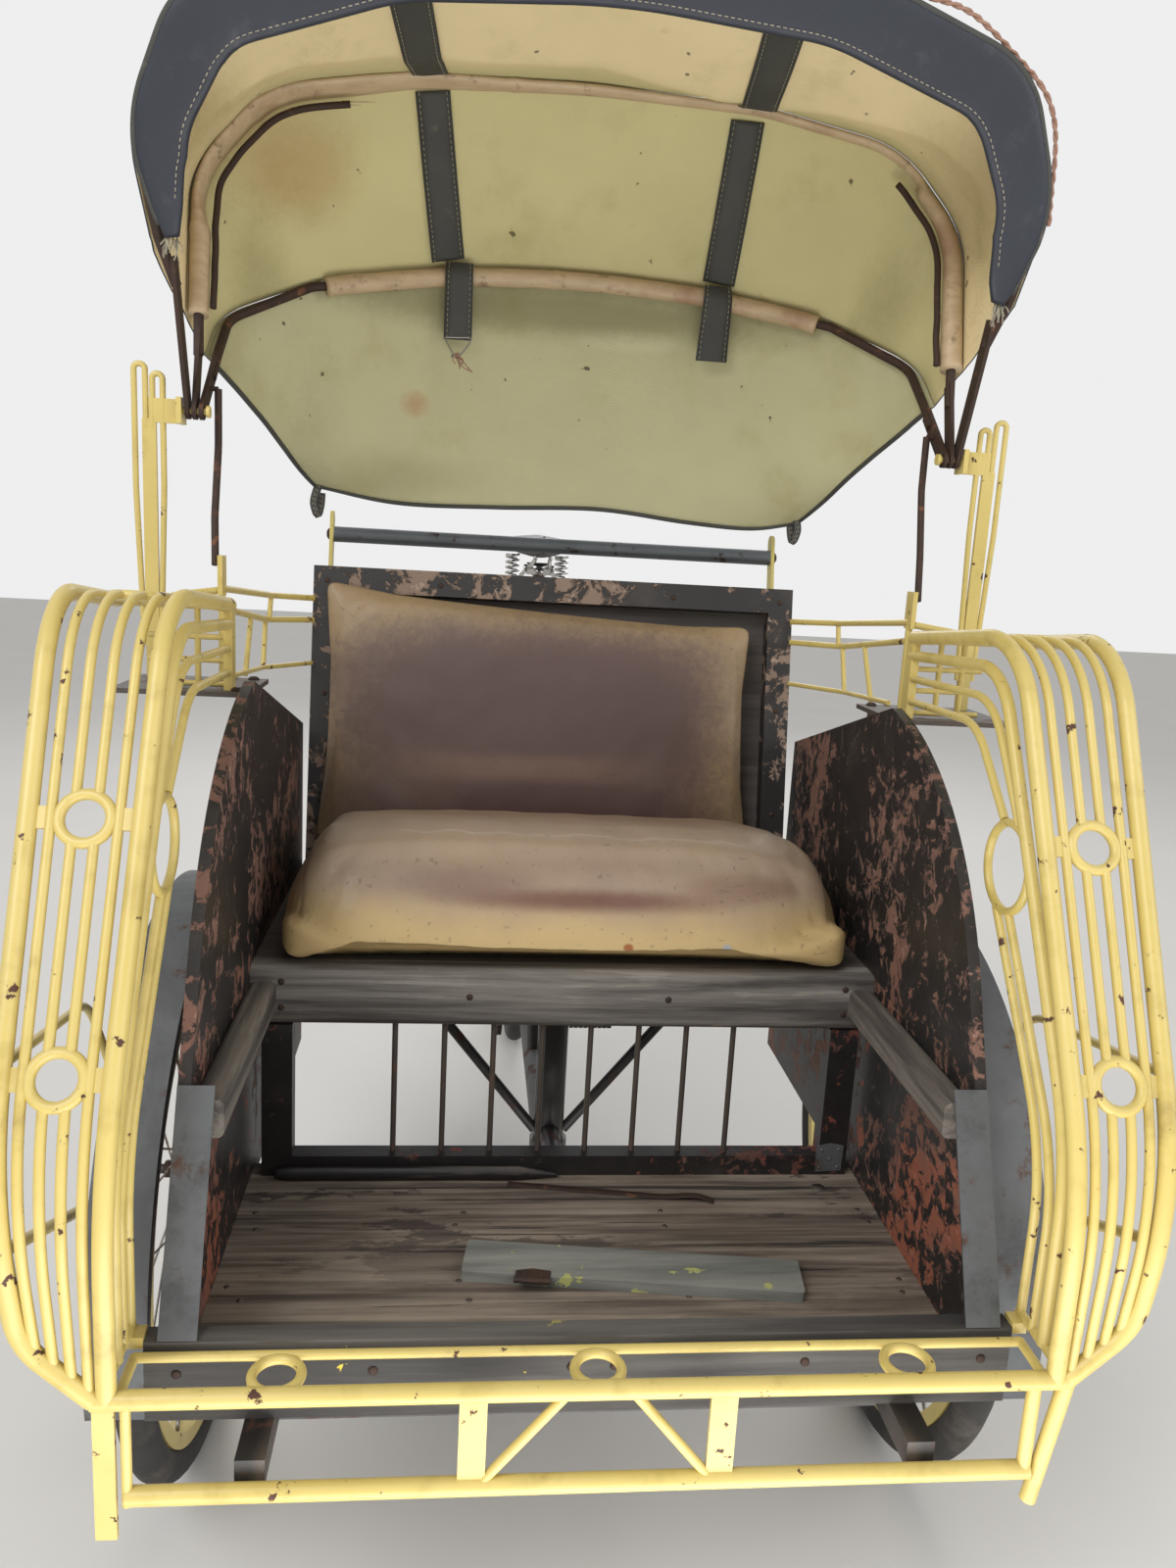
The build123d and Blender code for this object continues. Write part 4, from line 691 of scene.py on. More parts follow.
def cloth_panel(name, first, second, count_u, count_v, sag, wrinkles, body, slot_name, replaced, lining,
                thickness=1.8, blend=None):
    """Cloth from one edge curve to another, lined inside and dark outside, with folds and a sag."""
    first, second = resampled(first, count_u), resampled(second, count_u)
    grid = []
    for row in range(count_v):
        s = row / (count_v - 1)
        grid.append([a.lerp(b, s) for a, b in zip(first, second)])
    normals = []
    for row in range(count_v):
        line = []
        for column in range(count_u):
            du = grid[row][min(column + 1, count_u - 1)] - grid[row][max(column - 1, 0)]
            dv = grid[min(row + 1, count_v - 1)][column] - grid[max(row - 1, 0)][column]
            line.append(du.cross(dv).normalized())
        normals.append(line)
    middle = normals[count_v // 2][count_u // 2]
    sign = 1 if middle.z > 0 else -1
    inner, outer = [], []
    for row in range(count_v):
        s = row / (count_v - 1)
        for column in range(count_u):
            t = column / (count_u - 1)
            normal = normals[row][column] * sign
            hang = sag(s, t)
            fold = wrinkles(s, t) * min(1.0, 6 * s, 6 * (1 - s))
            place = grid[row][column] + normal * (fold - hang)
            inner.append(place)
            outer.append(place + normal * thickness)
    verts = [at(*v) for v in inner + outer]
    total = count_u * count_v
    faces, slots = [], []
    for row in range(count_v - 1):
        for column in range(count_u - 1):
            a = row * count_u + column
            quad = (a, a + 1, a + 1 + count_u, a + count_u)
            faces.append(quad if sign < 0 else quad[::-1])
            slots.append(0)
            quad = tuple(v + total for v in quad)
            faces.append(quad[::-1] if sign < 0 else quad)
            slots.append(1)
    rim = list(range(count_u))
    rim += [row * count_u + count_u - 1 for row in range(1, count_v)]
    rim += [(count_v - 1) * count_u + column for column in range(count_u - 2, -1, -1)]
    rim += [row * count_u for row in range(count_v - 2, 0, -1)]
    for a, b in zip(rim, rim[1:] + rim[:1]):
        quad = (b, a, a + total, b + total)
        faces.append(quad if sign < 0 else quad[::-1])
        slots.append(1)
    piece = add_piece(name, verts, faces, [lining, COVER], None if blend else body, slot_name, replaced, slots=slots)
    if blend:
        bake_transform(piece)
    rows = [inner[row * count_u:(row + 1) * count_u] for row in range(count_v)]
    outward = [[normal * sign for normal in line] for line in normals]
    return piece, (rows, outward)


def folds(seed, size=5.0, long=0.35, wide=3.0):
    """Soft folds that run from bow to bow, as a function of the shares along and across."""
    def height(s, t):
        broad = noise.noise(Vector((t * wide * 3 + seed, s * long * 3, seed)))
        fine = noise.noise(Vector((t * wide * 9 + seed, s * long * 9, 4 + seed)))
        return size * broad + size * 0.35 * fine
    return height


# Two cloths meet on a bow, a little to each side of its crown
CLOTH_GAP, BESIDE = 1.2, 0.15


def cloth_edge(bow, turn=0.0, gap=CLOTH_GAP):
    return bow_curve(bow, BOWS[bow][1] + gap, turn)


front_edge = cloth_edge("front", gap=CLOTH_GAP + 1)
middle_front, middle_rear = cloth_edge("middle", -BESIDE), cloth_edge("middle", BESIDE)
rear_front, rear_rear = cloth_edge("rear", -BESIDE), cloth_edge("rear", BESIDE)


def sag_front(s, t):
    """Hangs in a fold that lies well back in the middle and far forward at the right."""
    edge = min(1.0, 5 * t, 5 * (1 - t))
    crease = np.interp(t, (0.0, 0.2, 0.45, 0.66, 0.8, 0.95), (0.55, 0.66, 0.76, 0.84, 0.55, 0.30))
    deep = np.interp(t, (0.0, 0.25, 0.5, 0.7, 0.85), (20, 26, 17, 27, 34))
    fold = (s / crease) ** 1.2 if s < crease else (1 - s) / (1 - crease)
    return float(edge * (deep * min(1.0, fold) * 0.9 + 4 * s * (1 - s) * 4))


def sag_rear(s, t):
    edge = min(1.0, 5 * t, 5 * (1 - t))
    return 4 * s * (1 - s) * 7 * edge


crown = {name: at(0, PIVOT[0] + half[-1][1] * math.sin(math.radians(lean)),
                  PIVOT[1] + half[-1][1] * math.cos(math.radians(lean)))
         for name, (lean, _, half) in BOWS.items()}
FRONT_FOLD = ("front_bow", "middle_bow", crown["front"], crown["middle"])
REAR_FOLD = ("middle_bow", "cabin", crown["middle"], crown["rear"])
canopy_front, front_cloth = cloth_panel(
    "canopy_front_cloth", front_edge, middle_front, 170, 44, sag_front, folds(2, 8.0), None, "hood_cloth",
    ["canopy_front"], LINING, blend=FRONT_FOLD)
canopy_rear, rear_cloth = cloth_panel(
    "canopy_rear_cloth", middle_rear, rear_front, 150, 30, sag_rear, folds(5, 4.5), None, "hood_cloth",
    ["canopy_rear"], LINING, blend=REAR_FOLD)

# The rear curtain hangs from the rear bow; its lower edge is bound with piping
CURTAIN_BOTTOM = ((-372, 968, 1206), (-250, 982, 1188), (-100, 988, 1190), (60, 988, 1196), (200, 986, 1184),
                  (300, 978, 1180), (372, 968, 1192))


def spline(points, count):
    """A smooth line through points, by Catmull-Rom."""
    points = [Vector(p) for p in points]
    points = [points[0] * 2 - points[1], *points, points[-1] * 2 - points[-2]]
    spans = len(points) - 3
    line = []
    for number in range(count):
        place = number / (count - 1) * spans
        row = min(int(place), spans - 1)
        t = place - row
        p0, p1, p2, p3 = points[row:row + 4]
        line.append(0.5 * (p1 * 2 + (p2 - p0) * t + (p0 * 2 - p1 * 5 + p2 * 4 - p3) * t ** 2
                           + (p1 * 3 - p0 - p2 * 3 + p3) * t ** 3))
    return line


def sag_curtain(s, t):
    return 4 * s * (1 - s) * 6


curtain_edge = spline(CURTAIN_BOTTOM, 150)
curtain, (curtain_rows, _) = cloth_panel(
    "rear_curtain_cloth", rear_rear, curtain_edge, 150, 40, sag_curtain, folds(9, 4.0, 0.6, 2.0), "cabin",
    "hood_cloth", ["rear_curtain"], CURTAIN_LINING)


def piping(name, points, radius, body, material, slot_name, sides=8):
    """A round cord sewn in, or a rod, along points in the source's millimetres."""
    verts, faces = tube_mesh([at(*p) for p in points], radius / 1000, sides)
    return add_piece(name, verts, faces, [material], body, slot_name)


curtain_sides = [[row[0] for row in curtain_rows], [row[-1] for row in curtain_rows]]
border = curtain_sides[0][2:] + curtain_edge[1:] + curtain_sides[1][::-1][1:-2]
curtain_binding = piping("curtain_binding", border, 3.4, "cabin", WEB, "dark_cloth")


def swept(points, outs, normal, outline, sides=14, power=2.0):
    """A closed solid along points. outline(share) gives its middle and half size, outward and along normal."""
    verts, faces = [], []
    for row, (point, out) in enumerate(zip(points, outs)):
        mid_out, mid_n, half_out, half_n = outline(row / (len(points) - 1))
        for side in range(sides):
            turn = 2 * math.pi * side / sides
            a, b = math.cos(turn), math.sin(turn)
            a = math.copysign(abs(a) ** (2 / power), a)
            b = math.copysign(abs(b) ** (2 / power), b)
            verts.append(point + out * (mid_out + half_out * a) + normal * (mid_n + half_n * b))
    for row in range(len(points) - 1):
        a, b = row * sides, (row + 1) * sides
        for side in range(sides):
            n = (side + 1) % sides
            faces.append((a + side, a + n, b + n, b + side))
    faces.append(tuple(range(sides))[::-1])
    faces.append(tuple((len(points) - 1) * sides + side for side in range(sides)))
    return verts, faces


def bow_frame(name, count):
    """Points along a bow from left to right, their ways out in its plane, and that plane's rearward normal."""
    lean = math.radians(BOWS[name][0])
    normal = Vector((0, math.cos(lean), -math.sin(lean)))
    points = resampled(bow_curve(name), count)
    outs = []
    for row in range(count):
        ahead = points[min(row + 1, count - 1)] - points[max(row - 1, 0)]
        outs.append(ahead.cross(normal).normalized())
    return points, outs, normal


def table(rows):
    """A function that reads between the rows of a table whose first column is the share."""
    columns = list(zip(*rows))
    return lambda share: [float(np.interp(share, columns[0], column)) for column in columns[1:]]


def dashes(points, length=4.0, gap=3.0, radius=0.7):
    """Stitches along a line of points."""
    whole = sum((b - a).length for a, b in zip(points, points[1:]))
    line = resampled(points, max(2, int(whole)))
    shapes = []
    row = 0
    while row + length < len(line):
        shapes.append(tube_mesh([line[row], line[row + int(length / 2)], line[row + int(length)]], radius, 5))
        row += int(length + gap)
    return merged(shapes)


def placed(shape):
    """A shape in the source's millimetres, in the shared frame's metres."""
    verts, faces = shape
    return [at(*v) for v in verts], faces


# The band along the front bow, with a stitched inner edge, piping outside and frayed threads at its ends

BAND_ROWS = 220
front_points, front_outs, front_normal = bow_frame("front", BAND_ROWS)
BAND = table(((0.0, -18, 8), (0.02, -20, 16), (0.06, -24, 27), (0.16, -26, 34), (0.5, -26, 35), (0.84, -26, 34),
              (0.95, -25, 28), (0.985, -21, 17), (1.0, -18, 8)))


def band_outline(share):
    middle, half = BAND(share)
    puff = 1.2 * noise.noise(Vector((share * 26, 2, 5)))
    return middle, -12.5, half, 5.2 + puff


band = placed(swept(front_points, front_outs, front_normal, band_outline, 20, 2.8))
add_piece("front_bow_band", *band, [COVER], "front_bow", "dark_cloth", ["hood_valance"])
seam, edge_line = [], []
for row, (point, out) in enumerate(zip(front_points, front_outs)):
    middle, half = BAND(row / (BAND_ROWS - 1))
    seam.append(point + out * (middle - half + 8) - front_normal * 17.6)
    edge_line.append(point + out * (middle + half) - front_normal * 12)
add_piece("front_bow_stitching", *placed(dashes(seam[6:-6])), [STITCH], "front_bow", "dark_cloth")
piping("front_bow_piping", edge_line[2:-2], 3.6, "front_bow", WEB, "dark_cloth")

random.seed(11)
frayed = []
for end in (0, -1):
    root = front_points[end] - front_normal * 12 + front_outs[end] * -16
    for _ in range(16):
        start = root + Vector((random.uniform(-7, 7), random.uniform(-4, 4), random.uniform(-2, 6)))
        long = random.uniform(8, 26)
        drift = Vector((random.uniform(-6, 6), random.uniform(-5, 5), -long))
        frayed.append(tube_mesh([start, start + drift * 0.5 + Vector((random.uniform(-3, 3), 0, 0)), start + drift],
                                random.uniform(0.5, 1.0), 5))
add_piece("front_bow_frayed_threads", *placed(merged(frayed)), [STITCH], "front_bow", "dark_cloth")

# Two twisted strands wind along the band on its right half
lacing = []
for phase in (0.0, math.pi):
    strand = []
    for row in range(136, 206):
        share = row / (BAND_ROWS - 1)
        swing = 5 * math.sin(share * 60) + 5
        turn = share * 330 + phase
        out = front_outs[row] * (5 + swing + 1.6 * math.cos(turn))
        strand.append(edge_line[row] + out + front_normal * (4 + 1.6 * math.sin(turn)))
    lacing.append(tube_mesh(resampled(strand, 420), 1.7, 6))
add_piece("hood_lacing", *placed(merged(lacing)), [TWINE], "front_bow", "dark_cloth")


# Bamboo: the middle bow is a split cane whose right end is whole, and the rear bow a whole one

def cane(bow, outline, joints, count, name, body, replaced):
    """Bamboo along a bow: outline gives its middle and half sizes, and joints its knots, as shares."""
    points, outs, normal = bow_frame(bow, count)

    def knobbly(share):
        mid_out, half_out, half_n = outline(share)
        swell = 1.0 + sum(0.13 * math.exp(-((share - place) / 0.0045) ** 2) for place in joints)
        swell += 0.03 * noise.noise(Vector((share * 30, 4, 1)))
        return mid_out, 0.0, half_out * swell, half_n * swell

    shape = placed(swept(points, outs, normal, knobbly, 18))
    add_piece(name, *shape, [BAMBOO], body, "bamboo", replaced)


cane("middle", table(((0.0, 0, 12, 12), (0.07, 1, 12, 14), (0.10, 5, 7, 18), (0.30, 6, 6.5, 17), (0.42, 7, 6, 11),
                      (0.60, 8, 5, 8), (0.815, 8, 5, 7), (0.825, 1, 9, 10), (0.90, 0, 12, 12), (0.98, 0, 14, 14),
                      (1.0, 0, 14, 14))),
     (0.075, 0.20, 0.43, 0.875), 300, "middle_bow_cane", "middle_bow", ["hood_middle_bow"])


def rear_hoop():
    """The part of the rear bow that is cane, without its steel sides."""
    points, outs, normal = bow_frame("rear", 400)
    inside = [row for row, point in enumerate(points) if abs(point.x) <= BOWS["rear"][2][2][0]]
    return points[inside[0]:inside[-1] + 1], outs[inside[0]:inside[-1] + 1], normal


hoop_points, hoop_outs, hoop_normal = rear_hoop()


def hoop_outline(share):
    swell = 1.0 + sum(0.10 * math.exp(-((share - place) / 0.005) ** 2) for place in (0.14, 0.46, 0.78))
    half = 12.6 * swell + 0.4 * noise.noise(Vector((share * 30, 4, 1)))
    return 0.0, 0.0, half, half


add_piece("rear_bow_cane", *placed(swept(hoop_points, hoop_outs, hoop_normal, hoop_outline, 18)), [BAMBOO], "cabin",
          "bamboo", ["hood_rear_bow"])

# A thin steel rod lies inside the middle bow at both ends, wrapped and splintered on the left
middle_points, middle_outs, middle_normal = bow_frame("middle", 300)
for name, low, high, inset in (("left", 2, 84, 17), ("right", 240, 298, 20)):
    rod = [point - out * (inset + 1.2 * noise.noise(Vector((row * 0.15, 1, 2))))
           for row, (point, out) in enumerate(zip(middle_points, middle_outs)) if low <= row <= high]
    piping(f"middle_bow_steel_{name}", rod, 4.2, "middle_bow", RUSTY, "rusty_steel")
splinters = []
for _ in range(14):
    row = random.randint(56, 82)
    start = middle_points[row] - middle_outs[row] * 13
    along = (middle_points[row + 6] - middle_points[row]).normalized()
    tip = start + along * random.uniform(18, 42) - middle_outs[row] * random.uniform(1, 7)
    tip += middle_normal * random.uniform(-5, 5)
    splinters.append(tube_mesh([start, tip], lambda share: 1.5 - 1.2 * share, 5))
add_piece("middle_bow_splinters", *placed(merged(splinters)), [BAMBOO], "middle_bow", "bamboo")


# Straps under the lining, with a hanging end at the rear bow

def on_cloth(surface, s, x):
    """The place on a cloth's inner face at a share of its length and an x, and the way out there."""
    rows, outward = surface
    places, ways = [], []
    row = s * (len(rows) - 1)
    low = min(int(row), len(rows) - 2)
    for number in (low, low + 1):
        line = rows[number]
        column = min(range(len(line) - 1), key=lambda c: abs((line[c].x + line[c + 1].x) / 2 - x))
        share = (x - line[column].x) / (line[column + 1].x - line[column].x)
        places.append(line[column].lerp(line[column + 1], share))
        ways.append(outward[number][column])
    return places[0].lerp(places[1], row - low), ways[0].lerp(ways[1], row - low).normalized()


def strap(name, points, ways, widths, body=None, blend=None):
    """A flat strap whose back lies against the cloth, sewn along both edges."""
    verts, faces, lines = [], [], ([], [])
    for row, (point, way) in enumerate(zip(points, ways)):
        ahead = (points[min(row + 1, len(points) - 1)] - points[max(row - 1, 0)]).normalized()
        side = ahead.cross(way).normalized()
        half = widths[0] / 2 + (widths[1] - widths[0]) / 2 * row / (len(points) - 1)
        bow = 0.5 * noise.noise(Vector((row * 0.35, half, 3)))
        for across, lift in ((-half, 0), (-half, -1.8), (-half * 0.4, -2.3 + bow), (half * 0.4, -2.3 - bow),
                             (half, -1.8), (half, 0)):
            verts.append(point + side * across + way * lift)
        for line, across in zip(lines, (4.5 - half, half - 4.5)):
            line.append(point + side * across - way * 2.4)
    for row in range(len(points) - 1):
        a, b = row * 6, (row + 1) * 6
        for side in range(6):
            n = (side + 1) % 6
            faces.append((a + side, b + side, b + n, a + n))
    faces.append(tuple(range(6)))
    faces.append(tuple((len(points) - 1) * 6 + side for side in range(6))[::-1])
    sewn = merged([dashes(line, 4, 3, 0.55) for line in lines])
    whole = placed(merged([(verts, faces), sewn]))
    slots = [0] * len(faces) + [1] * len(sewn[1])
    piece = add_piece(name, *whole, [WEB, STITCH], body, "dark_cloth", slots=slots)
    if blend:
        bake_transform(piece)


def under(surface, from_x, to_x, low, high, gap=2.5, count=40):
    """A strap's line below a cloth, from one x and share of its length to another."""
    points, ways = [], []
    for row in range(count):
        share = row / (count - 1)
        place, way = on_cloth(surface, low + (high - low) * share, from_x + (to_x - from_x) * share)
        points.append(place - way * gap)
        ways.append(way)
    return points, ways


def on_hoop(x):
    """The point of the rear bow's cane that is nearest to an x."""
    return min(hoop_points, key=lambda point: abs(point.x - x))


# Straps: side, x at the front bow, at the middle bow from ahead and from behind, at the rear bow, and of the
# tail below it, with the tail's width at its tip
STRAPS = (("left", -232, -206, -204, -182, -165, 40), ("right", 186, 207, 204, 205, 201, 46))
TAIL = ((-9, 17), (-16, 6), (-17, -6), (-11, -30), (-3, -60), (2, -84))
for side, front_x, mid_x, behind_x, rear_x, tail_x, tip in STRAPS:
    points, ways = under(front_cloth, front_x, mid_x, 0.03, 0.955)
    strap(f"front_strap_{side}", points, ways, (48, 44), blend=FRONT_FOLD)
    points, ways = under(rear_cloth, behind_x, rear_x, 0.07, 0.93)
    strap(f"middle_strap_{side}", points, ways, (44, 46), blend=REAR_FOLD)
    path = spline([on_hoop(tail_x) + Vector((0, y, z)) for y, z in TAIL], 40)
    strap(f"rear_strap_end_{side}", path, [Vector((0, 1, 0))] * 40, (38, tip), "cabin")

# The left tail ends in a wire ring with knotted twine
corner = on_hoop(-165) + Vector((0, 0, -86))
ring = [corner + Vector(v) for v in ((-19, 0, 4), (-6, -2, -17), (0, -2, -20), (6, -2, -17), (19, 0, 4), (0, 0, 5))]
add_piece("strap_wire_ring", *placed(tube_mesh(spline([*ring, ring[0]], 40), 1.3, 6)), [STEEL], "cabin", "bare_steel")
knot = []
for _ in range(5):
    away = Vector((random.uniform(-14, 24), random.uniform(-4, 3), random.uniform(-26, -8)))
    start = corner + Vector((random.uniform(-3, 3), -3, -20))
    bend = start + away * 0.5 + Vector((random.uniform(-5, 5), -2, random.uniform(-5, 5)))
    knot.append(tube_mesh(spline([start, bend, start + away], 12), 1.0, 5))
loop = [corner + Vector((3.4 * math.cos(turn * 0.7), 3.4 * math.sin(turn * 0.7) - 2, turn * 0.35 - 23))
        for turn in range(18)]
knot.append(tube_mesh(loop, 1.3, 6))
add_piece("strap_twine_knot", *placed(merged(knot)), [TWINE], "cabin", "dark_cloth")

# Two small loops hang at the curtain's lower corners
for side, name in ((-1, "left"), (1, "right")):
    x = 366 * side
    hang = spline([(x, 966, 1208), (x + 4 * side, 962, 1196), (x + 7 * side, 963, 1180), (x + 2 * side, 966, 1164),
                   (x - 2 * side, 969, 1178), (x - 3 * side, 971, 1196)], 26)
    strap(f"curtain_loop_{name}", hang, [Vector((0, 1, 0.2)).normalized()] * 26, (12, 12), "cabin")


# Cushions

def pad_mesh(name, size, bevel, voxel):
    """A block with rounded edges, remeshed evenly, centred on the origin, in metres."""
    mesh = bpy.data.meshes.new(name)
    bm = bmesh.new()
    bmesh.ops.create_cube(bm, size=1.0)
    bmesh.ops.scale(bm, vec=size, verts=bm.verts)
    bmesh.ops.bevel(bm, geom=bm.edges[:], offset=bevel, segments=4, affect="EDGES", profile=0.5)
    bm.to_mesh(mesh)
    bm.free()
    piece = bpy.data.objects.new(name, mesh)
    bpy.context.scene.collection.objects.link(piece)
    remesh = piece.modifiers.new("remesh", "REMESH")
    remesh.mode = "VOXEL"
    remesh.voxel_size = voxel
    applied(piece)
    return piece


def applied(piece):
    """Replaces the piece's mesh by what its modifiers make of it."""
    graph = bpy.context.evaluated_depsgraph_get()
    mesh = bpy.data.meshes.new_from_object(piece.evaluated_get(graph))
    piece.modifiers.clear()
    piece.data = mesh


def puffed(piece, cap, pressure=3.0, frames=14):
    """Blows the pad up as cloth, and lets no point move further than cap."""
    start = np.array([v.co for v in piece.data.vertices])
    cloth = piece.modifiers.new("cloth", "CLOTH")
    settings = cloth.settings
    settings.use_pressure = True
    settings.uniform_pressure_force = pressure
    settings.effector_weights.gravity = 0.0
    settings.tension_stiffness = 12
    settings.compression_stiffness = 6
    settings.shear_stiffness = 4
    settings.bending_stiffness = 0.4
    settings.quality = 4
    cloth.point_cache.frame_start = 1
    cloth.point_cache.frame_end = frames
    scene = bpy.context.scene
    for number in range(1, frames + 1):
        scene.frame_set(number)
    graph = bpy.context.evaluated_depsgraph_get()
    end = np.array([v.co for v in piece.evaluated_get(graph).data.vertices])
    piece.modifiers.clear()
    scene.frame_set(1)
    shift = end - start
    length = np.linalg.norm(shift, axis=1, keepdims=True)
    shift *= np.minimum(1.0, cap / np.maximum(length, 1e-9))
    piece.data.vertices.foreach_set("co", (start + shift).ravel())


def curve_to(reach, power=2.3):
    """How high a rounded shoulder stands at a share of the way down it."""
    return max(0.0, 1 - min(1.0, reach) ** power) ** (1 / power)


def seat_pad():
    """A soft pillow: crowned near its rounded front, low at both ends and sloping down to the back."""
    low, high = (Vector(corner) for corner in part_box("seat_cushion"))
    size = high - low
    pad = pad_mesh("seat_pad", (size.x - 0.012, size.y - 0.010, size.z - 0.012), 0.024, 0.0072)
    puffed(pad, 0.010)
    co = np.array([v.co for v in pad.data.vertices])
    base, top = co[:, 2].min(), co[:, 2].max()
    half_x, half_y = np.abs(co[:, 0]).max(), np.abs(co[:, 1]).max()
    for row, (x, y, z) in enumerate(co):
        u, v = x / half_x, y / half_y
        flat = 0.70 if u < 0 else 0.52
        end = max(0.0, (abs(u) - flat) / (1 - flat))
        front = max(0.0, (-0.34 - v) / 0.66)
        back = max(0.0, (v - 0.6) / 0.4) * 0.5
        h = 0.42 + 0.58 * curve_to(min(1.0, (end ** 2 + front ** 2.2 + back ** 2) ** 0.5))
        h *= 0.965 + 0.035 * (1 - u * u)
        h *= 1 - 0.30 * max(0.0, (v + 0.35) / 1.35) ** 1.2
        place = Vector((x, y, z))
        h += 0.020 * noise.noise(place * 7) * (1 - end) + 0.012 * noise.noise(Vector((x * 26, y * 14, 3)))
        share = (z - base) / (top - base)
        crease = 0.0035 * noise.noise(Vector((x * 60, y * 30, z * 20))) * max(end, front * 0.5)
        co[row, 2] = base + share * (top - base) * h + crease * share
        belly = math.sin(math.pi * min(1.0, share * 1.1)) if v < -0.5 else 0.0
        co[row, 1] -= 0.006 * belly * (1 - abs(u) ** 5)
        pull = 0.006 * (1 - abs(v) ** 4) * (abs(u) > 0.9)
        co[row, 0] -= math.copysign(pull, x)
    pad.data.vertices.foreach_set("co", co.ravel())
    pad.data.transform(Matrix.Translation(Vector(((low.x + high.x) / 2, (low.y + high.y) / 2, low.z - base))))
    finish_pad(pad, SEAT_VINYL, "seat_cushion", low.z)


def finish_pad(pad, material, node, lowest=0.0):
    """Gives a pad its cover and puts it in the place of a node, with no point below lowest."""
    mesh = pad.data
    for v in mesh.vertices:
        v.co.z = max(v.co.z, lowest)
    mesh.materials.clear()
    mesh.materials.append(material)
    mesh.polygons.foreach_set("use_smooth", [True] * len(mesh.polygons))
    smooth = pad.modifiers.new("smooth", "SUBSURF")
    smooth.levels = smooth.render_levels = 1
    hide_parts(node)
    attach(pad, "cabin")


BACK_Y, SEAT_TOP, BACK_LEAN = 866, 640, 10


def leaning(x, y, z):
    """From the backrest's own frame to the source's."""
    turn = math.radians(BACK_LEAN)
    return x, BACK_Y + y * math.cos(turn) + z * math.sin(turn), SEAT_TOP - y * math.sin(turn) + z * math.cos(turn)


# The back cushion's corners seen from the front, in the backrest's own frame: x and height
BACK_CORNERS = {(-1, 1): (-349, 432), (1, 1): (301, 392), (-1, -1): (-355, 40), (1, -1): (309, 42)}
# How far its edges are drawn in between the corners
EDGE_DRAW = 5.0


def back_pad():
    """The back cushion hangs a little askew, thin at its corners, which are folded to points."""
    half_x, half_z = 0.325, 0.190
    pad = pad_mesh("back_pad", (2 * half_x, 0.034, 2 * half_z), 0.013, 0.0062)
    puffed(pad, 0.009)
    co = np.array([v.co for v in pad.data.vertices])
    half_x, half_z = np.abs(co[:, 0]).max(), np.abs(co[:, 2]).max()
    places = []
    for x, y, z in co:
        u, w = x / half_x, z / half_z
        a, b = (u + 1) / 2, (w + 1) / 2
        shares = {(-1, -1): (1 - a) * (1 - b), (1, -1): a * (1 - b), (-1, 1): (1 - a) * b, (1, 1): a * b}
        flat = [sum(share * BACK_CORNERS[key][axis] for key, share in shares.items()) for axis in (0, 1)]
        flat[0] -= EDGE_DRAW * u * (1 - w * w) * abs(u)
        flat[1] -= EDGE_DRAW * w * (1 - u * u) * abs(w)
        full = (1 - abs(u) ** 5) * (1 - abs(w) ** 5)
        thick = 0.34 + 0.66 * full ** 0.7
        bulge = (1 - u * u) * (1 - w * w)
        near = y * 1000 * thick - (11 * bulge if y < 0 else 0)
        ripple = 2.2 * noise.noise(Vector((x * 7, z * 7, 3))) + 1.0 * noise.noise(Vector((x * 30, z * 24, 7)))
        corner = max(0.0, abs(u) - 0.75) * max(0.0, abs(w) - 0.6) * 10
        ripple += 5.0 * corner * noise.noise(Vector(((x - z) * 34, (x + z) * 10, 5)))
        near += ripple * (y < 0)
        # Where the pad reaches over the backrest's frame, it lies on the frame's face
        behind = -1.2 if flat[0] < -331 or flat[1] > 417 else 20.0
        places.append(at(*leaning(flat[0], min(near - 6, behind), flat[1])))
    pad.data.vertices.foreach_set("co", np.array([tuple(p) for p in places]).ravel())
    finish_pad(pad, BACK_VINYL, "backrest_cushion")


seat_pad()
back_pad()


# Tyres with ribs

def tyre_piece(name, body, x, y, node):
    """A tyre whose tread has ribs round it, cut into blocks."""
    verts, faces = [], []
    around, section = 150, 28
    for row in range(around):
        turn = 2 * math.pi * row / around
        for side in range(section):
            bend = 2 * math.pi * side / section
            tread = math.cos(bend) > 0.35
            groove = tread and (side % 2 == 0) and (row % 3 != 0)
            r = TYRE_R - 0.1 - (1.4 if groove else 0.0)
            reach = WHEEL_R - TYRE_R + r * math.cos(bend)
            verts.append(at(x + r * math.sin(bend), y + reach * math.sin(turn), WHEEL_R + reach * math.cos(turn)))
    for row in range(around):
        for side in range(section):
            a, b = row * section, ((row + 1) % around) * section
            n = (side + 1) % section
            faces.append((a + side, a + n, b + n, b + side))
    add_piece(name, verts, faces, [RUBBER], body, "tyre", [node])


# Wheels: body, x and y of the centre
WHEELS = {"front_left": ("front_wheel_left", -TRACK_HALF, FRONT_AXLE_Y),
          "front_right": ("front_wheel_right", TRACK_HALF, FRONT_AXLE_Y),
          "rear": ("rear_wheel", 0, REAR_AXLE_Y)}
for wheel, tyre in (("front_left", "front_tyre_left"), ("front_right", "front_tyre_right"), ("rear", "rear_tyre")):
    tyre_piece(f"{tyre}_ribbed", *WHEELS[wheel], tyre)


# Small parts. A hexagon is a disc of six sides

def nut(centre, axis, radius=9.0, thickness=7.0):
    return disc_mesh(centre, axis, radius, thickness, 6)


def bolt(centre, axis, radius=6.0, height=3.5):
    return disc_mesh(centre, axis, radius, height, 16, True)


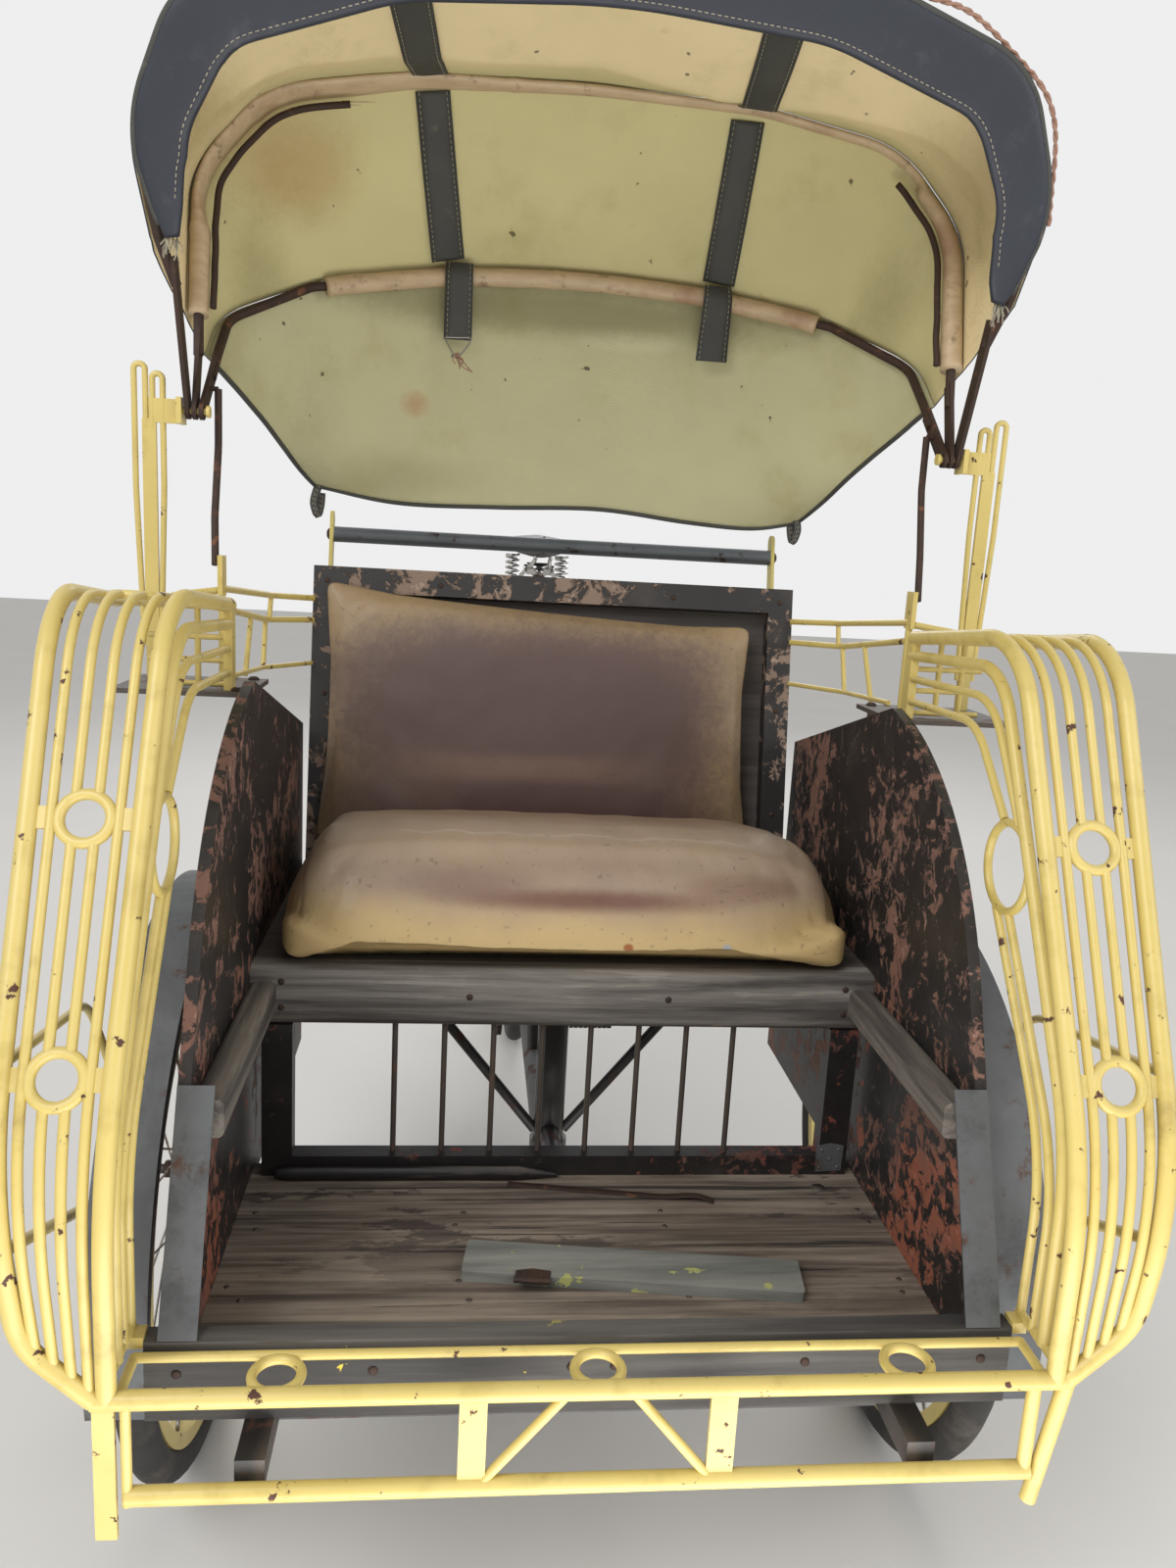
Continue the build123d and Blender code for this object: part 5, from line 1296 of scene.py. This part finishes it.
def mirrored_pair(make, x, y, z, axis, *sizes):
    """The same piece at +x and -x, whose axis is mirrored with it."""
    return [make((side * x, y, z), (side * axis[0], axis[1], axis[2]), *sizes) for side in (-1, 1)]


fixings = []
for y in (520, 632):  # guard brackets
    fixings += mirrored_pair(bolt, 404, y, 951, (0, 0, 1), 7, 4)
fixings += mirrored_pair(bolt, 357, 1037, 1136, (1, 0, 0), 9, 5)  # handlebar
fixings += mirrored_pair(nut, TRACK_HALF + 37, FRONT_AXLE_Y, WHEEL_R, (1, 0, 0), 11, 8)
fixings += mirrored_pair(nut, TRACK_HALF - 37, FRONT_AXLE_Y, WHEEL_R, (-1, 0, 0), 11, 8)
for x in (372, 200, 20):  # front board
    fixings += mirrored_pair(bolt, x, 58, 402, (0, -1, 0), 4.5, 2)
for x, z in ((340, 622), (340, 590), (120, 606)):  # rail under the seat
    fixings += mirrored_pair(bolt, x, 440, z, (0, -1, 0), 4, 1.6)
for y, z in ((180, 520), (260, 560), (420, 560), (470, 880), (640, 880), (800, 820), (330, 800)):  # side panels
    fixings += mirrored_pair(bolt, 376, y, z, (-1, 0, 0), 4, 1.6)
for x, z in ((350, 1068), (350, 900), (350, 740), (180, 1068)):  # backrest
    _, y, z = leaning(x, -0.2, (z - SEAT_TOP) / math.cos(math.radians(BACK_LEAN)))
    fixings += mirrored_pair(bolt, x, y, z, (0, -0.985, 0.17), 4, 1.6)
add_piece("cabin_fixings", *placed(merged(fixings)), [RUSTY], "cabin", "rusty_steel")

random.seed(5)
nails = []
for y in (96, 200, 226, 330, 356, 456):
    for x in (-352, -120, 118, 350):
        place = (x + random.uniform(-9, 9), y + random.uniform(-4, 4), FLOOR_TOP)
        nails.append(disc_mesh(place, (0, 0, 1), 3.2, 0.5, 10))
# A thin black disc paints the shade inside a hole in the plank.
nails.append(disc_mesh((320, 409, FLOOR_TOP), (0, 0, 1), 9, 0.35, 18))  # a dark hole
add_piece("floor_nails_and_hole_shade", *placed(merged(nails)), [BLACK_PAINT], "cabin", "rusty_steel")


def plate_mesh(outline, normal, thickness):
    """A flat plate from its corners in order, thickened along normal."""
    outline = [Vector(p) for p in outline]
    lift = Vector(normal).normalized() * thickness
    count = len(outline)
    verts = outline + [p + lift for p in outline]
    faces = [tuple(range(count))[::-1], tuple(range(count, 2 * count))]
    faces += [(row, (row + 1) % count, count + (row + 1) % count, count + row) for row in range(count)]
    return verts, faces


# What lies on the floor in front of the sill: a nailed plate, a bent strap, a slat and the board's old hinge
plate = plate_mesh([(324, 439.5, 378), (357, 439.5, 380), (358, 439.5, 414), (341, 439.5, 417), (323, 439.5, 413)],
                   (0, -1, 0), 1.5)
pins = [bolt((x, 438, z), (0, -1, 0), 2.4, 1.2)
        for x, z in ((329, 384), (352, 385), (330, 408), (352, 409), (341, 396))]
add_piece("sill_plate", *placed(merged([plate, *pins])), [SHEET], "cabin", "grey_sheet", smooth=False)

UP = Vector((0, 0, 1))
bent = spline([(-66, 418, 374.6), (-20, 411, 374.4), (60, 398, 374.4), (120, 388, 374.8), (148, 383, 379),
               (164, 380, 379.5), (180, 377, 375)], 50)
strip = swept(bent, [UP] * 50, Vector((0.16, 0.987, 0)), lambda share: (0, 0, 0.9, 5.5), 8, 4.0)
add_piece("bent_strap", *placed(strip), [RUSTY], "cabin", "rusty_steel")

slat_line = [Vector((x, 430 + 2.0 * noise.noise(Vector((x * 0.02, 1, 1))), 382)) for x in range(-346, 2, 6)]
slat_outline = table(((0.0, 0, 0, 5, 3), (0.05, 0, 0, 8.3, 4.5), (0.86, 0, 0, 8.3, 4.5), (0.93, -2, 1, 5, 3),
                      (1.0, -4, 2, 2, 1.5)))
slat = swept(slat_line, [UP] * len(slat_line), Vector((0, 1, 0)), slat_outline, 8, 5.0)
add_piece("loose_slat", *placed(slat), [DARK_WOOD], "cabin", "dark_wood")

hinge = [plate_mesh([(-66, 212, 385.8), (-30, 207.5, 385.8), (-27, 224, 385.8), (-46, 229, 385.8), (-64, 226, 385.8)],
                    (0, 0, 1), 1.6),
         tube_mesh([(-67, 209, 388), (-48, 206.5, 388), (-29, 204.5, 388)], 3.4, 10),
         bolt((-56, 219, 387.4), (0, 0, 1), 2.6, 1.4), bolt((-38, 217, 387.4), (0, 0, 1), 2.6, 1.4)]
add_piece("board_hinge", *placed(merged(hinge)), [RUSTY], "cabin", "rusty_steel", smooth=False)

# Nipples at the spokes' ends and a valve on each wheel
RIM_IN = WHEEL_R - 2 * TYRE_R + 4 - 17
SPOKES, NIPPLE, VALVE = 32, 13, 26


def wheel_details(name, body, x, y):
    shapes = []
    for number in range(SPOKES):
        side = 1 if number % 2 else -1
        turn = 4 * math.pi * (number // 2 + (side + 1) / 4) / SPOKES
        way = Vector((0, math.sin(turn), math.cos(turn)))
        foot = Vector((x + side * 4, y, WHEEL_R)) + way * (RIM_IN - NIPPLE)
        shapes.append(tube_mesh([foot, foot + way * NIPPLE], 2.4, 6))
    turn = 2 * math.pi / SPOKES
    way = Vector((0, math.sin(turn), math.cos(turn)))
    foot = Vector((x, y, WHEEL_R)) + way * (RIM_IN - VALVE)
    shapes.append(tube_mesh([foot, foot + way * VALVE], lambda share: 2.2 if share < 0.4 else 3.2, 8))
    add_piece(name, *placed(merged(shapes)), [STEEL], body, "bare_steel")


for wheel, place in WHEELS.items():
    wheel_details(f"{wheel}_nipples", *place)
rear_nuts = [nut((side * 79, REAR_AXLE_Y, WHEEL_R), (side, 0, 0), 11, 7) for side in (-1, 1)]
add_piece("rear_axle_nuts", *placed(merged(rear_nuts)), [STEEL], "rider_frame", "bare_steel")

# Drive: a chain of links round the chain wheel and the sprocket, whose teeth stand between its rollers
SHELL, AXLE = (SHELL_Y, SHELL_Z), (REAR_AXLE_Y, WHEEL_R)
BIG, SMALL, PITCH = 97.3, 43.3, 12.7
CHAIN_X = -50


def chain_line():
    """The closed line of the chain: round the chain wheel, then round the sprocket."""
    span = Vector((AXLE[0] - SHELL[0], AXLE[1] - SHELL[1]))
    slope, wrap = math.atan2(span.y, span.x), math.acos((BIG - SMALL) / span.length)
    around = [(SHELL, BIG, slope - wrap + 2 * math.pi, slope + wrap), (AXLE, SMALL, slope + wrap, slope - wrap)]
    line = []
    for (y, z), radius, start, end in around:
        for row in range(61):
            turn = start + (end - start) * row / 60
            line.append(Vector((CHAIN_X, y + radius * math.cos(turn), z + radius * math.sin(turn))))
    return line + [line[0]]


loop_line = chain_line()
whole = sum((b - a).length for a, b in zip(loop_line, loop_line[1:]))
links = 2 * round(whole / PITCH / 2)
stations = resampled(loop_line, links + 1)
ACROSS = Vector((1, 0, 0))
# Half a link plate's outline: at its first pin or its second, along it, and up
HALF_PLATE = ((0, -4.2, 0), (0, -2.6, 3.8), (0, 3, 3.6), (1, -3, 3.6), (1, 2.6, 3.8), (1, 4.2, 0))
shapes = []
for number, pins in enumerate(zip(stations, stations[1:])):
    along = (pins[1] - pins[0]).normalized()
    up = along.cross(ACROSS)
    shapes.append(tube_mesh([pins[0] - ACROSS * 4, pins[0] + ACROSS * 4], 3.2, 8))
    reach = 3.4 if number % 2 else 2.3
    whole_plate = [*HALF_PLATE, *((pin, ahead, -lift) for pin, ahead, lift in HALF_PLATE[-2:0:-1])]
    for side in (-1, 1):
        outline = [pins[pin] + along * ahead + up * lift + ACROSS * (side * reach)
                   for pin, ahead, lift in whole_plate]
        shapes.append(plate_mesh(outline, (side, 0, 0), 0.9))
add_piece("chain_links", *placed(merged(shapes)), [RUSTY], "rider_frame", "rusty_steel", ["chain"], smooth=False)


def teeth(name, body, centre, radius, count):
    """Tapered teeth round a wheel of the drive."""
    shapes = []
    for number in range(count):
        turn = 2 * math.pi * number / count
        way = Vector((0, math.cos(turn), math.sin(turn)))
        side = Vector((0, -way.z, way.y))
        foot = Vector((CHAIN_X - 1.1, *centre)) + way * (radius - 2)
        shapes.append(plate_mesh([foot - side * 4, foot - side * 1.4 + way * 6.4, foot + side * 1.4 + way * 6.4,
                                  foot + side * 4], (1, 0, 0), 2.2))
    add_piece(name, *placed(merged(shapes)), [STEEL], body, "bare_steel", smooth=False)


teeth("chainring_teeth", "cranks", SHELL, 92, round(2 * math.pi * BIG / PITCH))
teeth("sprocket_teeth", "rear_wheel", AXLE, 38, round(2 * math.pi * SMALL / PITCH))

CRANK = 165


def pedal_piece(side, name):
    """Two ribbed rubber blocks between end plates, on the pedal's own tube."""
    y, z = SHELL_Y - side * CRANK, SHELL_Z
    near, far = side * 71, side * 150
    shapes = [tube_mesh([(near, y, z), (far, y, z)], 8.5, 16)]
    for lean in (-1, 1):
        def bar(start, end, half_up, half_out):
            ends = [Vector((x, y + lean * 20, z)) for x in (start, end)]
            return swept(ends, [UP] * 2, Vector((0, 1, 0)), lambda share: (0, 0, half_up, half_out), 16, 4.0)

        for row in range(9):
            x = near + (far - near) * (0.06 + 0.88 * row / 8)
            shapes.append(bar(x - 3.4, x + 3.4, 10.8, 10.6))
        shapes.append(bar(near, far, 8.6, 9.2))
    rubber = merged(shapes)
    corners = ((-30, -6), (-24, -10), (24, -10), (30, -6), (30, 6), (24, 10), (-24, 10), (-30, 6))
    steel = merged([plate_mesh([(x, y + ahead, z + lift) for ahead, lift in corners], (side, 0, 0), 2.5)
                    for x in (near, far - side * 2.5)])
    slots = [0] * len(rubber[1]) + [1] * len(steel[1])
    add_piece(f"{name}_blocks", *placed(merged([rubber, steel])), [PLASTIC, STEEL], name, "black_plastic",
              [f"pedal_{name.split('_')[0]}"], smooth=False, slots=slots)


pedal_piece(-1, "left_pedal")
pedal_piece(1, "right_pedal")

# Saddle: its post, clamp, rails and two coil springs on a cross bar
CLAMP_Y, CLAMP_Z = 1482.7, 1089
SPRING_Y, SPRING_Z, SPRING_X, TURNS = 1560, 1060, 50, 5
support = [tube_mesh([(0, 1432, 850), (0, CLAMP_Y, CLAMP_Z - 4)], 12, 20),
           tube_mesh([(-24, CLAMP_Y, CLAMP_Z), (24, CLAMP_Y, CLAMP_Z)], 12, 16),
           tube_mesh([(0, CLAMP_Y - 1, CLAMP_Z - 13), (0, CLAMP_Y, CLAMP_Z)], 15, 16),
           tube_mesh([(-62, SPRING_Y, SPRING_Z), (62, SPRING_Y, SPRING_Z)], 5, 12),
           nut((24, CLAMP_Y, CLAMP_Z), (1, 0, 0), 8, 6), nut((-24, CLAMP_Y, CLAMP_Z), (-1, 0, 0), 8, 6)]
for side in (-1, 1):
    rail = spline([(14 * side, 1362, 1112), (15 * side, 1400, 1104), (22.4 * side, CLAMP_Y, CLAMP_Z),
                   (38 * side, 1535, 1068), (46 * side, SPRING_Y, SPRING_Z)], 40)
    support.append(tube_mesh(rail, 4, 10))
    coil = []
    for row in range(170):
        turn = row / 169 * 2 * math.pi * TURNS
        coil.append(Vector((SPRING_X * side + 12.4 * math.cos(turn), SPRING_Y + 12.4 * math.sin(turn),
                            SPRING_Z + 1 + 53.5 * row / 169)))
    support.append(tube_mesh(coil, 2.5, 8))
    for z in (SPRING_Z - 0.5, 1112):
        support.append(tube_mesh([(SPRING_X * side, SPRING_Y, z), (SPRING_X * side, SPRING_Y, z + 3)], 15, 20))
add_piece("saddle_springs", *placed(merged(support)), [CHROME], "rider_frame", "chrome", ["saddle_support"])


# The saddle top

def saddle_piece():
    """The saddle's top: a narrow nose that widens to a dipped, rounded back."""
    low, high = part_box("saddle")
    verts, faces = [], []
    rings, sides = 22, 26
    length = high[1] - low[1]
    mid_x = (low[0] + high[0]) / 2
    for row in range(rings):
        s = row / (rings - 1)
        y = low[1] + 0.003 + (length - 0.006) * s
        wide = 0.020 + 0.078 * max(0.0, (s - 0.28) / 0.72) ** 0.9
        wide *= math.sin(math.pi * min(1.0, s * 4 + 0.12) / 2)
        wide *= math.sqrt(1 - (max(0.0, s - 0.9) / 0.105) ** 2)
        dip = -0.010 * math.sin(math.pi * s) + 0.004 * s
        for side in range(sides):
            turn = 2 * math.pi * side / sides
            x = mid_x + wide * math.cos(turn)
            up = math.sin(turn)
            z = high[2] - 0.018 + dip + (0.015 if up > 0 else 0.018) * up * (0.6 + 0.4 * abs(up))
            verts.append(Vector((x, y, z)))
    for row in range(rings - 1):
        for side in range(sides):
            n = (side + 1) % sides
            a, b = row * sides, (row + 1) * sides
            faces.append((a + side, b + side, b + n, a + n))
    faces.append(tuple(range(sides)))
    faces.append(tuple((rings - 1) * sides + side for side in range(sides))[::-1])
    piece = add_piece("saddle_top", verts, faces, [SADDLE], "rider_frame", "saddle_vinyl", ["saddle"])


saddle_piece()


# Camera, light and floor

def look():
    """The camera that was fitted to the photo."""
    yaw, pitch, roll = math.radians(6.27), math.radians(11.51), math.radians(3.18)
    ahead = Vector((math.sin(yaw) * math.cos(pitch), math.cos(yaw) * math.cos(pitch), -math.sin(pitch)))
    right = Vector((math.cos(yaw), -math.sin(yaw), 0))
    up = right.cross(ahead)
    turned = right * math.cos(roll) + up * math.sin(roll)
    raised = up * math.cos(roll) - right * math.sin(roll)
    rotation = Matrix((turned, raised, -ahead)).transposed().to_4x4()
    data = bpy.data.cameras.new("camera")
    data.sensor_fit = "HORIZONTAL"
    data.sensor_width = 36
    data.lens = 36 * 1196.4 / 1200  # the photo's focal length over its width, both in pixels
    data.clip_start = 0.05
    camera = bpy.data.objects.new("camera", data)
    camera.matrix_world = Matrix.Translation(at(-138, -883, 1141)) @ rotation
    bpy.context.scene.collection.objects.link(camera)
    bpy.context.scene.camera = camera


def lamp(name, place, aim, size, power):
    data = bpy.data.lights.new(name, "AREA")
    data.shape = "DISK"
    data.size = size
    data.energy = power
    thing = bpy.data.objects.new(name, data)
    thing.location = place
    thing.visible_camera = False
    thing.rotation_euler = (Vector(aim) - Vector(place)).to_track_quat("-Z", "Y").to_euler()
    bpy.context.scene.collection.objects.link(thing)


def studio():
    """A pale room: an even world that looks brighter than it shines, four soft lamps and a plain floor."""
    world = bpy.data.worlds.new("studio")
    bpy.context.scene.world = world
    world.use_nodes = True
    tree = world.node_tree
    background = tree.nodes["Background"]
    light = tree.nodes.new("ShaderNodeLightPath")
    seen = light.outputs["Is Camera Ray"]
    for ray in ("Is Glossy Ray", "Is Transmission Ray"):
        either = tree.nodes.new("ShaderNodeMath")
        either.operation = "MAXIMUM"
        tree.links.new(seen, either.inputs[0])
        tree.links.new(light.outputs[ray], either.inputs[1])
        seen = either.outputs[0]
    strength = tree.nodes.new("ShaderNodeMapRange")
    tree.links.new(seen, strength.inputs["Value"])
    strength.inputs["To Min"].default_value = 0.56
    strength.inputs["To Max"].default_value = 0.86
    background.inputs["Color"].default_value = (1, 1, 1, 1)
    tree.links.new(strength.outputs["Result"], background.inputs["Strength"])
    lamp("key", (-2.2, -3.2, 3.6), (0, -0.4, 0.8), 2.6, 112)
    lamp("fill", (2.8, -2.4, 2.2), (0, -0.2, 0.8), 2.4, 38)
    lamp("back", (0.5, 3.6, 3.2), (0, 0.6, 0.6), 2.6, 52)
    # It lies on the floor in front and shines up into the hood
    lamp("low", (0.1, -1.95, 0.02), (0.1, -1.95, 2), 1.6, 30)
    mesh = bpy.data.meshes.new("floor")
    mesh.from_pydata([(-15, -15, 0), (15, -15, 0), (15, 15, 0), (-15, 15, 0)], [], [(0, 1, 2, 3)])
    floor = bpy.data.objects.new("floor", mesh)
    bpy.context.scene.collection.objects.link(floor)
    f = Finish("studio_floor", roughness=0.8)
    mesh.materials.append(f.done(f.mix(f.noise(2, 3), srgb(214, 212, 208), srgb(222, 220, 216)), 0.8))


look()
studio()
bpy.context.scene.view_settings.view_transform = "Standard"
